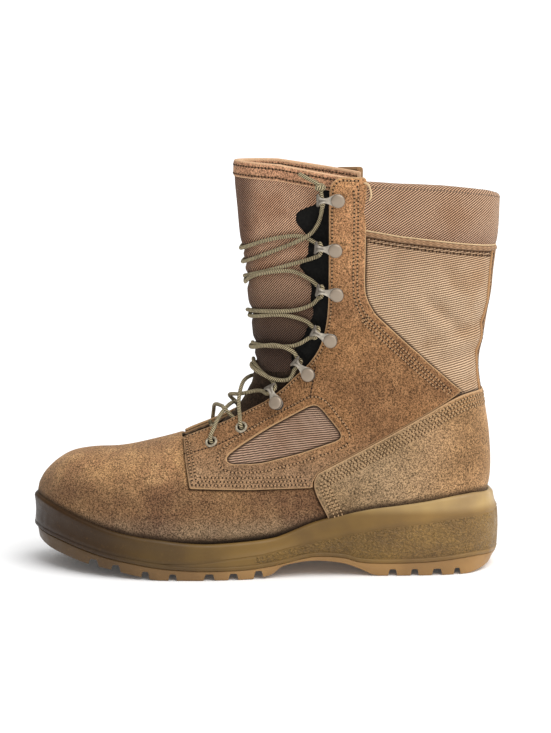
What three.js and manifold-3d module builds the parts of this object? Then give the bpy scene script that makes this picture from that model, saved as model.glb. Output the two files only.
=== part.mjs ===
// A left combat boot of about men's size 10, in millimetres, +Z up.
// X runs from the heel to the toe, Y towards the outer (lateral) side of the foot.
// Every outline below is measured from the rear of the sole and from the floor; the
// finished group is moved so that its origin lies below the middle of the boot.
import * as THREE from "three";
import { mergeVertices } from "three/addons/utils/BufferGeometryUtils.js";
import Module from "manifold-3d";

const wasm = await Module();
wasm.setup();

// ---- driving dimensions ----
const GAP = 0.3; // between neighbouring pieces
const WALL = 2.4; // the upper's leather and fabric wall
const OVERLAY = 1.7; // thickness of the quarters and the heel counter
const COLLAR_OUT = 1.2; // how far the padded collar stands out of the shaft
const COLLAR_IN = 6; // and how far its padding reaches inwards
const INSOLE = 4.7; // thickness of the footbed
const TONGUE = 4.5; // thickness of the padded tongue
const AROUND = 24; // sides of the upper's sections
const WIDE = 90; // half length of a side-view cutter, past both sides of the boot
const LUG_DEPTH = 4.6;
const LACE_R = 1.3;
const LACE_SIDES = 5;

// ---- the last: one row for each section, from the toe, round the heel, to the collar ----
// dx, dz: the section's upper (dorsal, then front) end; px, pz: its lower (sole, then back) end
// lat, med: Y of the widest points; ridge: Y of both ends; wide: the widest point's place,
// from 0 at the lower end to 1 at the upper; upper, lower: how square each half is
const LAST = table("dx dz px pz lat med ridge wide upper lower", [
  [305.8, 54.0, 306.0, 34.0, -1, -15, -8, 0.45, 2.0, 2.0],
  [301.8, 61.0, 302.3, 30.0, 7, -23, -8, 0.38, 2.1, 2.3],
  [293.8, 69.0, 294.2, 27.0, 18, -32, -7, 0.32, 2.2, 2.6],
  [283.0, 75.2, 283.5, 24.4, 27, -38.5, -6, 0.28, 2.3, 3.0],
  [268.0, 78.0, 268.0, 21.4, 37, -43.5, -4.5, 0.26, 2.3, 3.4],
  [249.0, 79.0, 249.0, 18.6, 44.5, -47.5, -3, 0.25, 2.2, 3.6],
  [229.0, 83.5, 228.0, 16.4, 49, -49.5, -2, 0.25, 2.05, 3.6],
  [209.0, 89.6, 208.0, 15.6, 49.8, -49, -1, 0.25, 1.9, 3.6],
  [192.0, 98.0, 188.0, 15.6, 49, -45.5, 0, 0.26, 1.75, 3.6],
  [177.0, 107.0, 166.0, 17.0, 46.5, -41.5, 0, 0.28, 1.75, 3.6],
  [165.0, 116.5, 139.0, 21.0, 42.5, -37.5, 0, 0.31, 1.75, 3.8],
  [156.0, 127.0, 109.0, 27.0, 39, -35.5, 0, 0.35, 1.8, 4.2],
  [150.0, 138.0, 77.0, 32.5, 37, -35.5, 0, 0.4, 1.9, 4.5],
  [147.0, 149.0, 44.0, 36.2, 36.5, -36, 0, 0.43, 2.0, 4.2],
  [146.0, 162.0, 18.0, 39.0, 36.5, -36.5, 0, 0.45, 2.1, 3.0],
  [148.0, 176.0, 7.2, 57.0, 36, -36, 0, 0.46, 2.2, 2.5],
  [150.0, 190.0, 7.2, 88.0, 35.5, -35.5, 0, 0.47, 2.3, 2.4],
  [153.0, 205.0, 11.4, 117.0, 35.2, -35.2, 0, 0.47, 2.3, 2.4],
  [157.0, 222.0, 14.0, 139.0, 35.2, -35.2, 0, 0.47, 2.3, 2.4],
  [161.0, 238.0, 9.6, 161.0, 35.6, -35.6, 0, 0.47, 2.3, 2.4],
  [168.0, 263.0, 3.6, 210.0, 36.5, -36.5, 0, 0.47, 2.3, 2.4],
  [173.0, 284.0, 0.4, 262.0, 37, -37, 0, 0.47, 2.3, 2.4],
]);
const TOE_TIP = [307.2, -8, 44];

// ---- the tongue: sections from under the vamp up to its top, in the same columns ----
const TONGUE_ROWS = table("dx dz px pz lat med ridge wide upper lower", [
  [222, 77.5, 206, 20, 43, -43, 0, 0.3, 1.9, 2.4],
  [206, 83.5, 188, 20, 40, -38, 0, 0.3, 1.8, 2.4],
  [193, 89.5, 168, 22, 33, -31, 0, 0.3, 1.8, 2.4],
  [181, 98.5, 146, 28, 25, -24, 0, 0.3, 1.8, 2.4],
  [170, 112, 122, 40, 23, -22.4, 0, 0.3, 1.9, 2.4],
  [163.2, 127, 100, 62, 24.5, -24, 0, 0.3, 2.0, 2.4],
  [160.9, 141, 84, 96, 26.4, -26, 0, 0.3, 2.0, 2.4],
  [161.8, 152, 76, 122, 27.8, -27.6, 0, 0.3, 2.0, 2.4],
  [163.4, 166, 72, 150, 28.8, -28.6, 0, 0.3, 2.0, 2.4],
  [165.6, 186, 70, 180, 29.6, -29.6, 0, 0.3, 2.0, 2.4],
  [173.4, 246, 70, 248, 30.4, -30.4, 0, 0.3, 2.0, 2.4],
  [173.8, 276, 70, 278, 30.8, -30.8, 0, 0.3, 2.0, 2.4],
]);

// ---- the sole: outline and heights, from heel to toe ----
// lat, med: the plan outline; rim, parting, bottom: heights of the midsole's upper edge, of the
// line between midsole and outsole, and of the tread; inRim, inParting, inBottom: how far
// the outline is drawn in at each of those heights
const SOLE = table("x lat med rim parting bottom inRim inParting inBottom", [
  [-1.6, -1.4, -2.6, 51, 10.4, 7.5, 3.6, 0.4, 2.4],
  [0.2, 8, -12, 51.5, 10.6, 6.4, 3.4, 0.4, 2.2],
  [5, 19.5, -23.5, 52.5, 11.2, 3.3, 3, 0.4, 2],
  [14, 29.5, -33.5, 53.6, 12, 1, 2.6, 0.4, 1.6],
  [22, 34, -38, 53.2, 11.6, 0, 2.4, 0.4, 1.4],
  [36, 37.5, -41, 51.7, 10.3, 0, 2.2, 0.4, 1.4],
  [54, 39.2, -41.8, 49, 9.2, 0, 2, 0.4, 1.4],
  [79, 40, -39.5, 46.3, 9, 0, 2, 0.4, 1.4],
  [92, 40.6, -37.6, 44.2, 10, 5, 2, 0.6, 1.8],
  [103, 41.3, -36.8, 41.6, 13, 8.8, 2, 0.8, 1.8],
  [122, 43, -36.6, 36.4, 14, 10.8, 2, 0.8, 1.8],
  [141, 46, -39.2, 29, 10.4, 8.2, 2, 0.6, 1.8],
  [150, 47.6, -41, 26.6, 8.8, 2.4, 2, 0.4, 1.6],
  [167, 50.8, -45.4, 25, 7, 0, 2, 0.4, 1.4],
  [190, 53.6, -51, 24, 6.6, 0, 2, 0.4, 1.4],
  [207, 54, -53.6, 24.8, 7.2, 0, 2, 0.4, 1.4],
  [224, 53.2, -54, 26.8, 8.6, 0, 1.8, 0.4, 1.4],
  [240, 50.6, -52.4, 28.6, 10.8, 2.5, 1.5, 0.6, 1.8],
  [258, 45.2, -49, 32, 13.6, 5.6, 1.2, 0.8, 2.2],
  [275, 36.4, -44, 37, 17.2, 8, 0.9, 1, 2.2],
  [289, 26, -38, 41.6, 20.6, 10.8, 0.6, 1.2, 2.6],
  [299, 15.6, -30.4, 45, 22.6, 13, 0.3, 1.4, 2.8],
  [305.4, 5.4, -21.4, 46.8, 23.8, 15, 0, 1.6, 3],
  [308.6, -2.4, -13.6, 47.4, 24.6, 16.6, 0, 1.6, 3],
  [309.3, -7.2, -8.8, 47.5, 24.8, 17, 0, 1.6, 3],
]);
const FOOTBED = [
  [-5, 37], [20, 36], [40, 35.4], [65, 33.4], [90, 30.2], [115, 26], [140, 21], [165, 17.2],
  [190, 15.6], [215, 15.6], [235, 16.8], [255, 19], [275, 22.5], [290, 26], [300, 30], [310, 36],
];
// transverse tread gaps: middle and width at the tread
const TREAD_GAPS = [
  [267, 7], [252, 6.4], [232.4, 5.4], [214.4, 5.6], [190.5, 7.4], [174.7, 6.6], [158.3, 6],
  [70, 6], [55.5, 5.4], [40.6, 7], [27.3, 4.6],
];
const CHANNEL_IN = 15; // how far inside the outline the tread's long channel runs
const CHANNEL = 4; // and its width

// ---- side-view outlines of the upper, X and Z ----
const FACING_EDGE = [
  [207.8, 87.2], [195, 92.6], [178, 99.3], [163, 107.6], [152.6, 113.4], [142, 122], [134.6, 130],
  [125.6, 138.7], [118.2, 149.9], [114.3, 163], [112.6, 177], [112.4, 215], [112.6, 254],
  [110.8, 260], [105.7, 263],
];
const FACING_REAR = [[88.5, 263], [88.8, 228], [89.3, 190.5], [87.9, 182.7], [82.7, 174]];
const PANEL_EDGE = [[53.3, 146.6], [25.7, 121.6]]; // on down the leather's diagonal edge
const COLLAR_FRONT = 88; // where the collar meets the facing strip
const COLLAR_SEAM = [[COLLAR_FRONT, 228.3], [67, 224.4], [41, 221], [8.8, 216.6], [-40, 210]];
const COLLAR_RIM = [[-40, 246], [0, 249.2], [9, 251.2], [41, 254.4], [69, 255.6], [COLLAR_FRONT, 257]];
const RIM_SLOPE = 0.09; // the collar's rim is higher on the lateral side, by this much of Y
const COUNTER_TOP = [[-40, 117], [8, 119.2], [20, 120.4], [33.7, 116], [66, 97.6], [98.6, 79.6], [119.4, 69]];
const COUNTER_FRONT = [[122.7, 63], [120.7, 54.9], [112.8, 39.6]];
const QUARTER_LOW = [[122.9, 59.6], [163.8, 58.9], [203.3, 59.6], [205.5, 73], [207.8, 87.2]];
const WINDOW = [
  [180.3, 78.5], [177.5, 74.4], [157.3, 75.2], [131.2, 81.8], [105.4, 90.7], [103.6, 94.6],
  [118.2, 112.4], [122.8, 113.4], [150.8, 97.8], [170.3, 85.8],
];
const TONGUE_TOP = [[180, 271.5], [146, 270], [120, 265.6], [90, 260.5]];
const TONGUE_REAR = [[97, 150], [104, 122], [122, 100], [146, 80], [176, 66], [222, 60]];

// speed hooks: the rivet's place and the direction in which the hook points
const HOOKS = table("x z ux uz", [
  [106.4, 248.4, 1, 0], [107.5, 216, 1, 0.1], [106.5, 187.2, 1, 0.18],
  [110.1, 157, 0.9, 0.42], [124, 132.3, 0.75, 0.66], [144.6, 111.8, 0.5, 0.86],
]);
const EYELETS = [[169.1, 96.2], [188.8, 86.4]];
// lace: two strands cross over the tongue and are joined; each has its heights beside the lateral
// facing, over the front and beside the medial facing; start: the angle round the tongue at which
// the strands begin, clear of the hooks; lift: how far they stand off the tongue at their ends
const CROSSINGS = table("start lift down up", [
  [0.36, 0, [238, 205, 218], [220, 213, 238]],
  [0.36, 0, [209, 192, 191], [191, 192, 209]],
  [0.36, 0, [181, 170, 170], [170, 170, 181]],
  [0.4, 0, [153, 149, 147], [147, 149, 153]],
  [0.7, 1, [137, 136, 130], [130, 136, 137]],
]);
// over the instep the strands follow the last instead: X, Z and side (1 lateral, -1 medial, and
// 0 on the ridge, where the height is the last's own)
const INSTEP_CROSSINGS = [
  [[160.5, 113.5, 1], [170.5, 0, 0], [169.5, 106, -1], [169.6, 101.6, -1]],
  [[172.8, 99.8, 1], [180, 0, 0], [183, 100, -1], [184.6, 97.4, -1]],
];
const BAR = [[188.9, 91.8, 1], [189.3, 94.5, 1], [189.8, 0, 0], [189.3, 94.5, -1], [188.9, 91.8, -1]];
// the lace's visible end: a knot above the top hook and a short tail
const KNOT = { at: [118, 37.2, 256.4], radius: 3.2 };
const TAIL = [[120.6, 37, 259], [125.5, 35.5, 261.6], [132.5, 32.5, 265]];

// ---- small functions ----
function table(names, rows) {
  const keys = names.split(" ");
  return rows.map((row) => Object.fromEntries(keys.map((key, i) => [key, row[i]])));
}

function along(points, x) {
  const i = Math.max(1, points.findIndex((p) => p[0] >= x));
  const [a, b] = [points[i - 1], points[i]];
  return a[1] + ((b[1] - a[1]) * (x - a[0])) / (b[0] - a[0]);
}

function meshOf(points, triangles) {
  const geometry = new THREE.BufferGeometry();
  geometry.setAttribute("position", new THREE.Float32BufferAttribute(points.flat(), 3));
  geometry.setIndex(triangles.flat());
  return geometry;
}

function solid(geometry) {
  const bare = geometry.clone();
  bare.deleteAttribute("normal");
  bare.deleteAttribute("uv");
  const merged = mergeVertices(bare, 1e-4);
  return new wasm.Manifold(new wasm.Mesh({
    numProp: 3,
    vertProperties: new Float32Array(merged.attributes.position.array),
    triVerts: new Uint32Array(merged.index.array),
  }));
}

function geometryOf(body) {
  const { vertProperties, triVerts } = body.getMesh();
  const geometry = new THREE.BufferGeometry();
  geometry.setAttribute("position", new THREE.BufferAttribute(new Float32Array(vertProperties), 3));
  geometry.setIndex(new THREE.BufferAttribute(new Uint32Array(triVerts), 1));
  return geometry;
}

// A prism of a side-view outline (X, Z), from one Y to another.
function sidePrism(outline, from = -WIDE, to = WIDE) {
  const shape = new THREE.Shape(outline.map(([x, z]) => new THREE.Vector2(x, z)));
  const geometry = new THREE.ExtrudeGeometry(shape, { depth: to - from, bevelEnabled: false });
  return solid(geometry.rotateX(Math.PI / 2).translate(0, to, 0));
}

// A point of a section at an angle: 0 lateral, a quarter turn at the upper end, a half turn medial.
function sectionPoint(row, angle) {
  const [c, s] = [Math.cos(angle), Math.sin(angle)];
  const power = 2 / (s > 0 ? row.upper : row.lower);
  const reach = s > 0 ? 1 - row.wide : row.wide;
  const t = row.wide + Math.sign(s) * reach * Math.abs(s) ** power;
  const width = c > 0 ? row.lat - row.ridge : row.ridge - row.med;
  const y = row.ridge + Math.sign(c) * width * Math.abs(c) ** power;
  return [row.px + (row.dx - row.px) * t, y, row.pz + (row.dz - row.pz) * t];
}

function mixRows(rows, s) {
  const i = Math.min(Math.floor(s), rows.length - 2);
  const pick = (k) => rows[Math.min(Math.max(k, 0), rows.length - 1)];
  const [a, b, c, d] = [pick(i - 1), pick(i), pick(i + 1), pick(i + 2)];
  const t = s - i;
  const mixed = {};
  for (const key of Object.keys(b)) {
    const slope = (c[key] - a[key]) / 2;
    const next = (d[key] - b[key]) / 2;
    const turn = 3 * (c[key] - b[key]) - 2 * slope - next;
    const ease = 2 * (b[key] - c[key]) + slope + next;
    mixed[key] = b[key] + t * (slope + t * (turn + t * ease));
  }
  return mixed;
}

// A closed loft through sections, with a tip or a flat fan at its start and a flat fan at its end.
function loft(rows, around, tip) {
  const points = [];
  const triangles = [];
  for (const row of rows) {
    for (let j = 0; j < around; j++) {
      points.push(sectionPoint(row, (2 * Math.PI * j) / around));
    }
  }
  for (let i = 0; i + 1 < rows.length; i++) {
    for (let j = 0; j < around; j++) {
      const k = (j + 1) % around;
      const [a, b, c, d] = [i * around + j, i * around + k, (i + 1) * around + k, (i + 1) * around + j];
      triangles.push([a, c, b], [a, d, c]);
    }
  }
  const middle = (row) => [(row.dx + row.px) / 2, row.ridge, (row.dz + row.pz) / 2];
  const last = (rows.length - 1) * around;
  points.push(tip ?? middle(rows[0]), middle(rows.at(-1)));
  for (let j = 0; j < around; j++) {
    const k = (j + 1) % around;
    triangles.push([points.length - 2, j, k]);
    triangles.push([points.length - 1, last + k, last + j]);
  }
  return meshOf(points, triangles);
}

// The same loft with every point moved along its normal.
function grown(geometry, distance) {
  const copy = geometry.clone();
  copy.computeVertexNormals();
  const [place, normal] = [copy.attributes.position, copy.attributes.normal];
  for (let i = 0; i < place.count; i++) {
    place.setXYZ(i,
      place.getX(i) + distance * normal.getX(i),
      place.getY(i) + distance * normal.getY(i),
      place.getZ(i) + distance * normal.getZ(i));
  }
  return solid(copy);
}

const lastGeometry = loft(LAST, AROUND, TOE_TIP);
const tongueGeometry = loft(TONGUE_ROWS, 16);
const form = (distance) => grown(lastGeometry, distance);
const tongueForm = (distance) => grown(tongueGeometry, distance);

// ---- shared cutters ----
const CEILING = 330;
// everything ahead of the facings and above the shaft; the gap moves the facing edge forward
function throat(gap) {
  const edge = FACING_EDGE.map(([x, z]) => [x + gap, z + (z < 140 ? gap : 0)]);
  return sidePrism([[330, 110], [330, CEILING], [105, CEILING], ...edge.toReversed(), [214, 92.4]]);
}
const behindCollar = sidePrism([
  [-40, CEILING], ...COLLAR_SEAM.toReversed().map(([x, z]) => [x, z - 2 * GAP]),
  [COLLAR_FRONT + GAP, COLLAR_SEAM[0][1] - 2 * GAP], [COLLAR_FRONT + GAP, CEILING],
]);
const aboveFacing = sidePrism([[80, 263], [120, 263], [120, CEILING], [80, CEILING]]);
const belowFootbed = (rise) => sidePrism([
  ...FOOTBED.map(([x, z]) => [x, z + rise]), [330, 36 + rise], [330, -20], [-40, -20], [-40, 37 + rise],
]);

// ---- the hollow upper and what lies on it ----
function makeUpper() {
  return form(0).subtract(form(-WALL)).subtract(belowFootbed(INSOLE + GAP))
    .subtract(throat(0)).subtract(behindCollar).subtract(aboveFacing);
}

function overlay(outline, side) {
  const [from, to] = side > 0 ? [2, WIDE] : [-WIDE, -2];
  return form(GAP + OVERLAY).subtract(form(GAP)).intersect(sidePrism(outline, from, to));
}

function makeQuarter(side) {
  const counterLine = COUNTER_TOP.slice(3).map(([x, z]) => [x + GAP, z + GAP]);
  const outline = [
    ...QUARTER_LOW, ...FACING_EDGE.slice(1), ...FACING_REAR, ...PANEL_EDGE, ...counterLine,
    [123.2, 63],
  ];
  return overlay(outline, side).subtract(sidePrism(WINDOW));
}

function makeCounter() {
  const floor = SOLE.filter((row) => row.x < 112).map((row) => [row.x, row.rim + GAP]);
  const outline = [...COUNTER_TOP, ...COUNTER_FRONT, ...floor.toReversed(), [-40, 50 + GAP]];
  return form(GAP + OVERLAY).subtract(form(GAP)).intersect(sidePrism(outline));
}

function makeCollar() {
  const belowRim = sidePrism([...COLLAR_RIM, [COLLAR_FRONT, 180], [-40, 180]]).transform(
    [1, 0, 0, 0, 0, 1, RIM_SLOPE, 0, 0, 0, 1, 0, 0, 0, 0, 1]);
  const aboveSeam = sidePrism([...COLLAR_SEAM, [-40, CEILING], [COLLAR_FRONT, CEILING]]);
  return form(COLLAR_OUT).subtract(form(-COLLAR_IN)).intersect(belowRim).intersect(aboveSeam);
}

function makeTongue() {
  const keep = sidePrism([...TONGUE_TOP, ...TONGUE_REAR, [240, 60], [240, 110]]);
  const room = throat(GAP).add(form(-WALL - 2 * GAP));
  return tongueForm(0).subtract(tongueForm(-TONGUE)).intersect(keep).intersect(room);
}

const makeInsole = () => form(0).intersect(belowFootbed(INSOLE));

// ---- the sole ----
// The sole's outline drawn in by a distance, as a closed loop of points: lateral side from heel
// to toe, then medial side back again.
function outlineLoop(inset, height, rows = SOLE) {
  const lateral = rows.map((row) => ({ row, y: row.lat }));
  const medial = rows.toReversed().map((row) => ({ row, y: row.med }));
  const sides = [...lateral, ...medial];
  const n = sides.length;
  return sides.map(({ row, y }, i) => {
    const [before, after] = [sides[(i + n - 1) % n], sides[(i + 1) % n]];
    const [tx, ty] = [after.row.x - before.row.x, after.y - before.y];
    const size = Math.hypot(tx, ty);
    const d = inset(row);
    return [row.x + (ty / size) * d, y - (tx / size) * d, height(row)];
  });
}

const soleHeight = (column, x) => along(SOLE.map((row) => [row.x, row[column]]), x);

// A solid between stacked loops; its two flat ends are strips from side to side.
function stack(loops) {
  const n = loops[0].length;
  const triangles = [];
  for (let i = 0; i + 1 < loops.length; i++) {
    for (let j = 0; j < n; j++) {
      const k = (j + 1) % n;
      triangles.push([i * n + j, i * n + n + k, i * n + k], [i * n + j, i * n + n + j, i * n + n + k]);
    }
  }
  const top = (loops.length - 1) * n;
  for (let j = 0; j + 1 < n / 2; j++) {
    const [a, b, c, d] = [j, j + 1, n - 2 - j, n - 1 - j];
    if (b !== c) triangles.push([a, b, c], [top + a, top + c, top + b]);
    triangles.push([a, c, d], [top + a, top + d, top + c]);
  }
  return solid(meshOf(loops.flat(), triangles));
}

function makeMidsole() {
  const bulge = (row) => row.parting + 0.45 * (row.rim - row.parting);
  const cup = stack([
    outlineLoop((row) => row.inParting, (row) => row.parting),
    outlineLoop(() => 0, (row) => row.parting + 3),
    outlineLoop((row) => row.inRim * 0.2, bulge),
    outlineLoop((row) => row.inRim, (row) => row.rim),
  ]);
  return cup.subtract(form(GAP));
}

function makeOutsole() {
  const slab = stack([
    outlineLoop((row) => row.inBottom, (row) => row.bottom),
    outlineLoop((row) => row.inParting + 0.4, (row) => row.parting - GAP),
  ]);
  const coarse = SOLE.filter((_, i) => i % 2 === 1);
  const tread = (inset) => stack([
    outlineLoop(() => inset, (row) => row.bottom - 4, coarse),
    outlineLoop(() => inset, (row) => Math.min(row.bottom + LUG_DEPTH, row.parting - 2), coarse),
  ]);
  let grooves = tread(CHANNEL_IN).subtract(tread(CHANNEL_IN + CHANNEL));
  for (const [x, width] of TREAD_GAPS) {
    const half = width / 2;
    const roof = soleHeight("bottom", x) + LUG_DEPTH;
    grooves = grooves.add(sidePrism([
      [x - half, roof - 9], [x + half, roof - 9], [x + half * 0.6, roof], [x - half * 0.6, roof],
    ]));
  }
  return slab.subtract(grooves);
}

// ---- hooks, eyelets and laces ----
// The point of a surface that a ray meets first, and the normal there.
function skin(geometry, ray) {
  const place = geometry.attributes.position;
  const corner = (i) => new THREE.Vector3().fromBufferAttribute(place, geometry.index.getX(i));
  let best = null;
  for (let i = 0; i < geometry.index.count; i += 3) {
    const triangle = new THREE.Triangle(corner(i), corner(i + 1), corner(i + 2));
    const hit = ray.intersectTriangle(triangle.a, triangle.b, triangle.c, false, new THREE.Vector3());
    const far = hit ? hit.distanceTo(ray.origin) : Infinity;
    if (hit && (best === null || far < best.far)) {
      best = { far, point: hit.clone(), normal: triangle.getNormal(new THREE.Vector3()) };
    }
  }
  return best;
}

const ANKLE = 130; // above the whole instep, and below where the shaft leans over it
// A point of the last seen from one side, or from above for side 0, lifted off its surface.
function onLast(x, z, side) {
  const ray = side === 0
    ? new THREE.Ray(new THREE.Vector3(x, 0.1, ANKLE), new THREE.Vector3(0, 0, -1))
    : new THREE.Ray(new THREE.Vector3(x, side * WIDE, z), new THREE.Vector3(0, -side, 0));
  return skin(lastGeometry, ray);
}

// The matrix that sets a fitting on the last: local X along u, local Z out of its surface.
function seat(x, z, side, ux, uz, lift) {
  const { point, normal } = onLast(x, z, side);
  const u = new THREE.Vector3(ux, 0, uz);
  u.addScaledVector(normal, -u.dot(normal)).normalize();
  const v = new THREE.Vector3().crossVectors(normal, u);
  point.addScaledVector(normal, lift);
  return new THREE.Matrix4().makeBasis(u, v, normal).setPosition(point);
}

const turned = (profile, sides) => {
  const line = profile.map(([r, z]) => new THREE.Vector2(r, z));
  return new THREE.LatheGeometry(line, sides).rotateX(Math.PI / 2);
};
const prism = (outline, depth) => solid(new THREE.ExtrudeGeometry(
  new THREE.Shape(outline.map(([x, y]) => new THREE.Vector2(x, y))), { depth, bevelEnabled: false }));

// A speed hook: a riveted stem with a flat cap, and a neck that ends in a crossbar.
function makeHook() {
  const stem = solid(turned([[0, 0], [3, 0], [4.8, 3.8], [4.4, 5.2], [0, 5.2]], 7));
  const neck = prism([[1, -3], [11.5, -2.2], [11.5, 2.2], [1, 3]], 1.2).translate([0, 0, 3.7]);
  const bar = prism([[10.8, -4], [13, -4], [13, 4], [10.8, 4]], 2.5).translate([0, 0, 2.4]);
  return stem.add(neck).add(bar);
}

// An eyelet: a rolled flange on the leather and a barrel through it.
const makeEyelet = () => solid(turned(
  [[2.2, -4.6], [2.8, -4.6], [2.8, 0], [4.1, 0], [3, 1.5], [2.2, -4.6]], 8));
const makeEyeletHole = () => solid(new THREE.CylinderGeometry(3.3, 3.3, 14, 8).rotateX(Math.PI / 2));

// A point of the tongue at an angle round it and a height.
function onTongue(angle, height) {
  let [low, high] = [0, TONGUE_ROWS.length - 1];
  for (let i = 0; i < 30; i++) {
    const middle = (low + high) / 2;
    if (sectionPoint(mixRows(TONGUE_ROWS, middle), angle)[2] < height) low = middle;
    else high = middle;
  }
  return new THREE.Vector3(...sectionPoint(mixRows(TONGUE_ROWS, low), angle));
}

// The same point, standing off the tongue's surface.
function overTongue(angle, height, standOff) {
  const point = onTongue(angle, height);
  const round = onTongue(angle + 0.02, height).sub(point);
  const up = onTongue(angle, height + 1).sub(point);
  return point.addScaledVector(up.cross(round).normalize(), standOff);
}

// A cord of round section along points.
function cord(points, steps) {
  const ring = new THREE.Shape(Array.from({ length: LACE_SIDES }, (_, i) => new THREE.Vector2(
    LACE_R * Math.cos((2 * Math.PI * i) / LACE_SIDES), LACE_R * Math.sin((2 * Math.PI * i) / LACE_SIDES))));
  const path = new THREE.CatmullRomCurve3(points);
  return solid(new THREE.ExtrudeGeometry(ring, { steps, extrudePath: path, bevelEnabled: false }));
}

const LACE_LIFT = 1.2; // between a lace and the tongue
function strand([lateral, front, medial], start, lift) {
  const points = [];
  for (let i = 0; i <= 8; i++) {
    const t = i / 8;
    const angle = start + (Math.PI - 2 * start) * t;
    const height = lateral * (1 - t) * (1 - 2 * t) + front * 4 * t * (1 - t) + medial * t * (2 * t - 1);
    const standOff = LACE_R + LACE_LIFT + lift * (2 * t - 1) ** 2;
    points.push(overTongue(angle, height, standOff));
  }
  return cord(points, 8);
}
const makeCrossing = ({ start, lift, down, up }) => strand(down, start, lift).add(strand(up, start, lift));

const OVER_INSTEP = OVERLAY + 2 * GAP + LACE_R + 0.4; // a strand's middle over the last
function instepStrand(path) {
  return cord(path.map(([x, z, side]) => {
    const { point, normal } = onLast(x, z, side);
    return point.addScaledVector(normal, OVER_INSTEP);
  }), 7);
}
const mirrored = (path) => path.map(([x, z, side]) => [x, z, -side]);
const makeInstepCrossing = (path) => instepStrand(path).add(instepStrand(mirrored(path)));
const makeKnot = () => new THREE.SphereGeometry(KNOT.radius, 8, 5).translate(...KNOT.at);

// ---- the scene ----
function material(color, roughness, metalness = 0) {
  return new THREE.MeshStandardMaterial({ color, roughness, metalness });
}
const SUEDE = material(0x9a744f, 0.95);
const LEATHER = material(0xa87c55, 0.85);
const FABRIC = material(0xb49474, 0.95);
const TONGUE_FABRIC = material(0x96735c, 0.95);
const MIDSOLE = material(0x7d6844, 0.75);
const RUBBER = material(0x846844, 0.8);
const FOAM = material(0x4a4036, 0.95);
const METAL = material(0x948c7c, 0.5, 0.4);
const BRONZE = material(0x6a6257, 0.45, 0.7);
const LACE = material(0xae9a78, 0.9);

const boot = new THREE.Group();
function piece(name, body, look) {
  const mesh = new THREE.Mesh(body.isBufferGeometry ? body : geometryOf(body), look);
  mesh.name = name;
  boot.add(mesh);
  return mesh;
}

let upper = makeUpper();
const quarters = { lateral: makeQuarter(1), medial: makeQuarter(-1) };
const hook = geometryOf(makeHook());
const eyelet = geometryOf(makeEyelet());
for (const [name, side] of [["lateral", 1], ["medial", -1]]) {
  HOOKS.forEach(({ x, z, ux, uz }, i) => {
    const seated = piece(`hook_${name}_${i + 1}`, hook.clone(), METAL);
    seated.applyMatrix4(seat(x, z, side, ux, uz, OVERLAY + 2 * GAP));
  });
  EYELETS.forEach(([x, z], i) => {
    const matrix = seat(x, z, side, 1, 0, OVERLAY + 3 * GAP);
    piece(`eyelet_${name}_${i + 1}`, eyelet.clone(), BRONZE).applyMatrix4(matrix);
    const hole = solid(geometryOf(makeEyeletHole()).applyMatrix4(matrix));
    upper = upper.subtract(hole);
    quarters[name] = quarters[name].subtract(hole);
  });
}
piece("outsole", makeOutsole(), RUBBER);
piece("midsole", makeMidsole(), MIDSOLE);
piece("insole", makeInsole(), FOAM);
piece("upper", upper, SUEDE);
piece("quarter_lateral", quarters.lateral, LEATHER);
piece("quarter_medial", quarters.medial, LEATHER);
piece("heel_counter", makeCounter(), SUEDE);
piece("collar", makeCollar(), FABRIC);
piece("tongue", makeTongue(), TONGUE_FABRIC);
CROSSINGS.forEach((row, i) => piece(`lace_crossing_${i + 1}`, makeCrossing(row), LACE));
INSTEP_CROSSINGS.forEach((path, i) => {
  piece(`lace_crossing_${CROSSINGS.length + i + 1}`, makeInstepCrossing(path), LACE);
});
piece("lace_bar", instepStrand(BAR), LACE);
piece("lace_knot", makeKnot(), LACE);
piece("lace_tail", cord(TAIL.map((point) => new THREE.Vector3(...point)), 6), LACE);

boot.position.x = -(SOLE[0].x + SOLE.at(-1).x) / 2;
export default boot;
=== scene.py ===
"""The looks of a left combat boot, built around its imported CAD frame.

Sizes are millimetres in the boot's own axes: X from the rear of the sole to the toe, Y towards the
outer (lateral) side, Z up from the floor. Every mesh is moved to the frame's metres as it is made.
"""
import math

import bpy
import numpy as np
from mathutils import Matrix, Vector
from mathutils.bvhtree import BVHTree
from mathutils.kdtree import KDTree


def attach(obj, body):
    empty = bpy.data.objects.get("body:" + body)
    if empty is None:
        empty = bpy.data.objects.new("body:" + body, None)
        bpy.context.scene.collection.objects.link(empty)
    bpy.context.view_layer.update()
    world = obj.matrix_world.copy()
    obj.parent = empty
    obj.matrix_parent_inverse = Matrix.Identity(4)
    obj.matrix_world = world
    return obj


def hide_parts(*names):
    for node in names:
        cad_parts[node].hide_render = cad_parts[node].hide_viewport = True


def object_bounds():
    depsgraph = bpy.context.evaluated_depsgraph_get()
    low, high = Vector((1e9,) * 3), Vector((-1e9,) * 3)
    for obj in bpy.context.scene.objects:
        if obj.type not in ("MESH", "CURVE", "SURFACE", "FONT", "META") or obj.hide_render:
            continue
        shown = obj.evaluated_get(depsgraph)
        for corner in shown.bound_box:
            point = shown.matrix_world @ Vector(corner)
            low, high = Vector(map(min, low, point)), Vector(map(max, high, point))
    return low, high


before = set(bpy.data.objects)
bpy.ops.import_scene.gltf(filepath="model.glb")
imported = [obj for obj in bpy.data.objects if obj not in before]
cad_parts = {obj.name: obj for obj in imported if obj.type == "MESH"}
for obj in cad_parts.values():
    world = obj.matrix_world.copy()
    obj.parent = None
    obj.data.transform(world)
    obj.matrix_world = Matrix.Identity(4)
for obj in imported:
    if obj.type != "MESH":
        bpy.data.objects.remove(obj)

CAD_LOW, CAD_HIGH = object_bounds()
MM = 0.001
GAP = 0.3  # between neighbouring layers
WALL = 2.4  # leather or fabric with its lining
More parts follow.
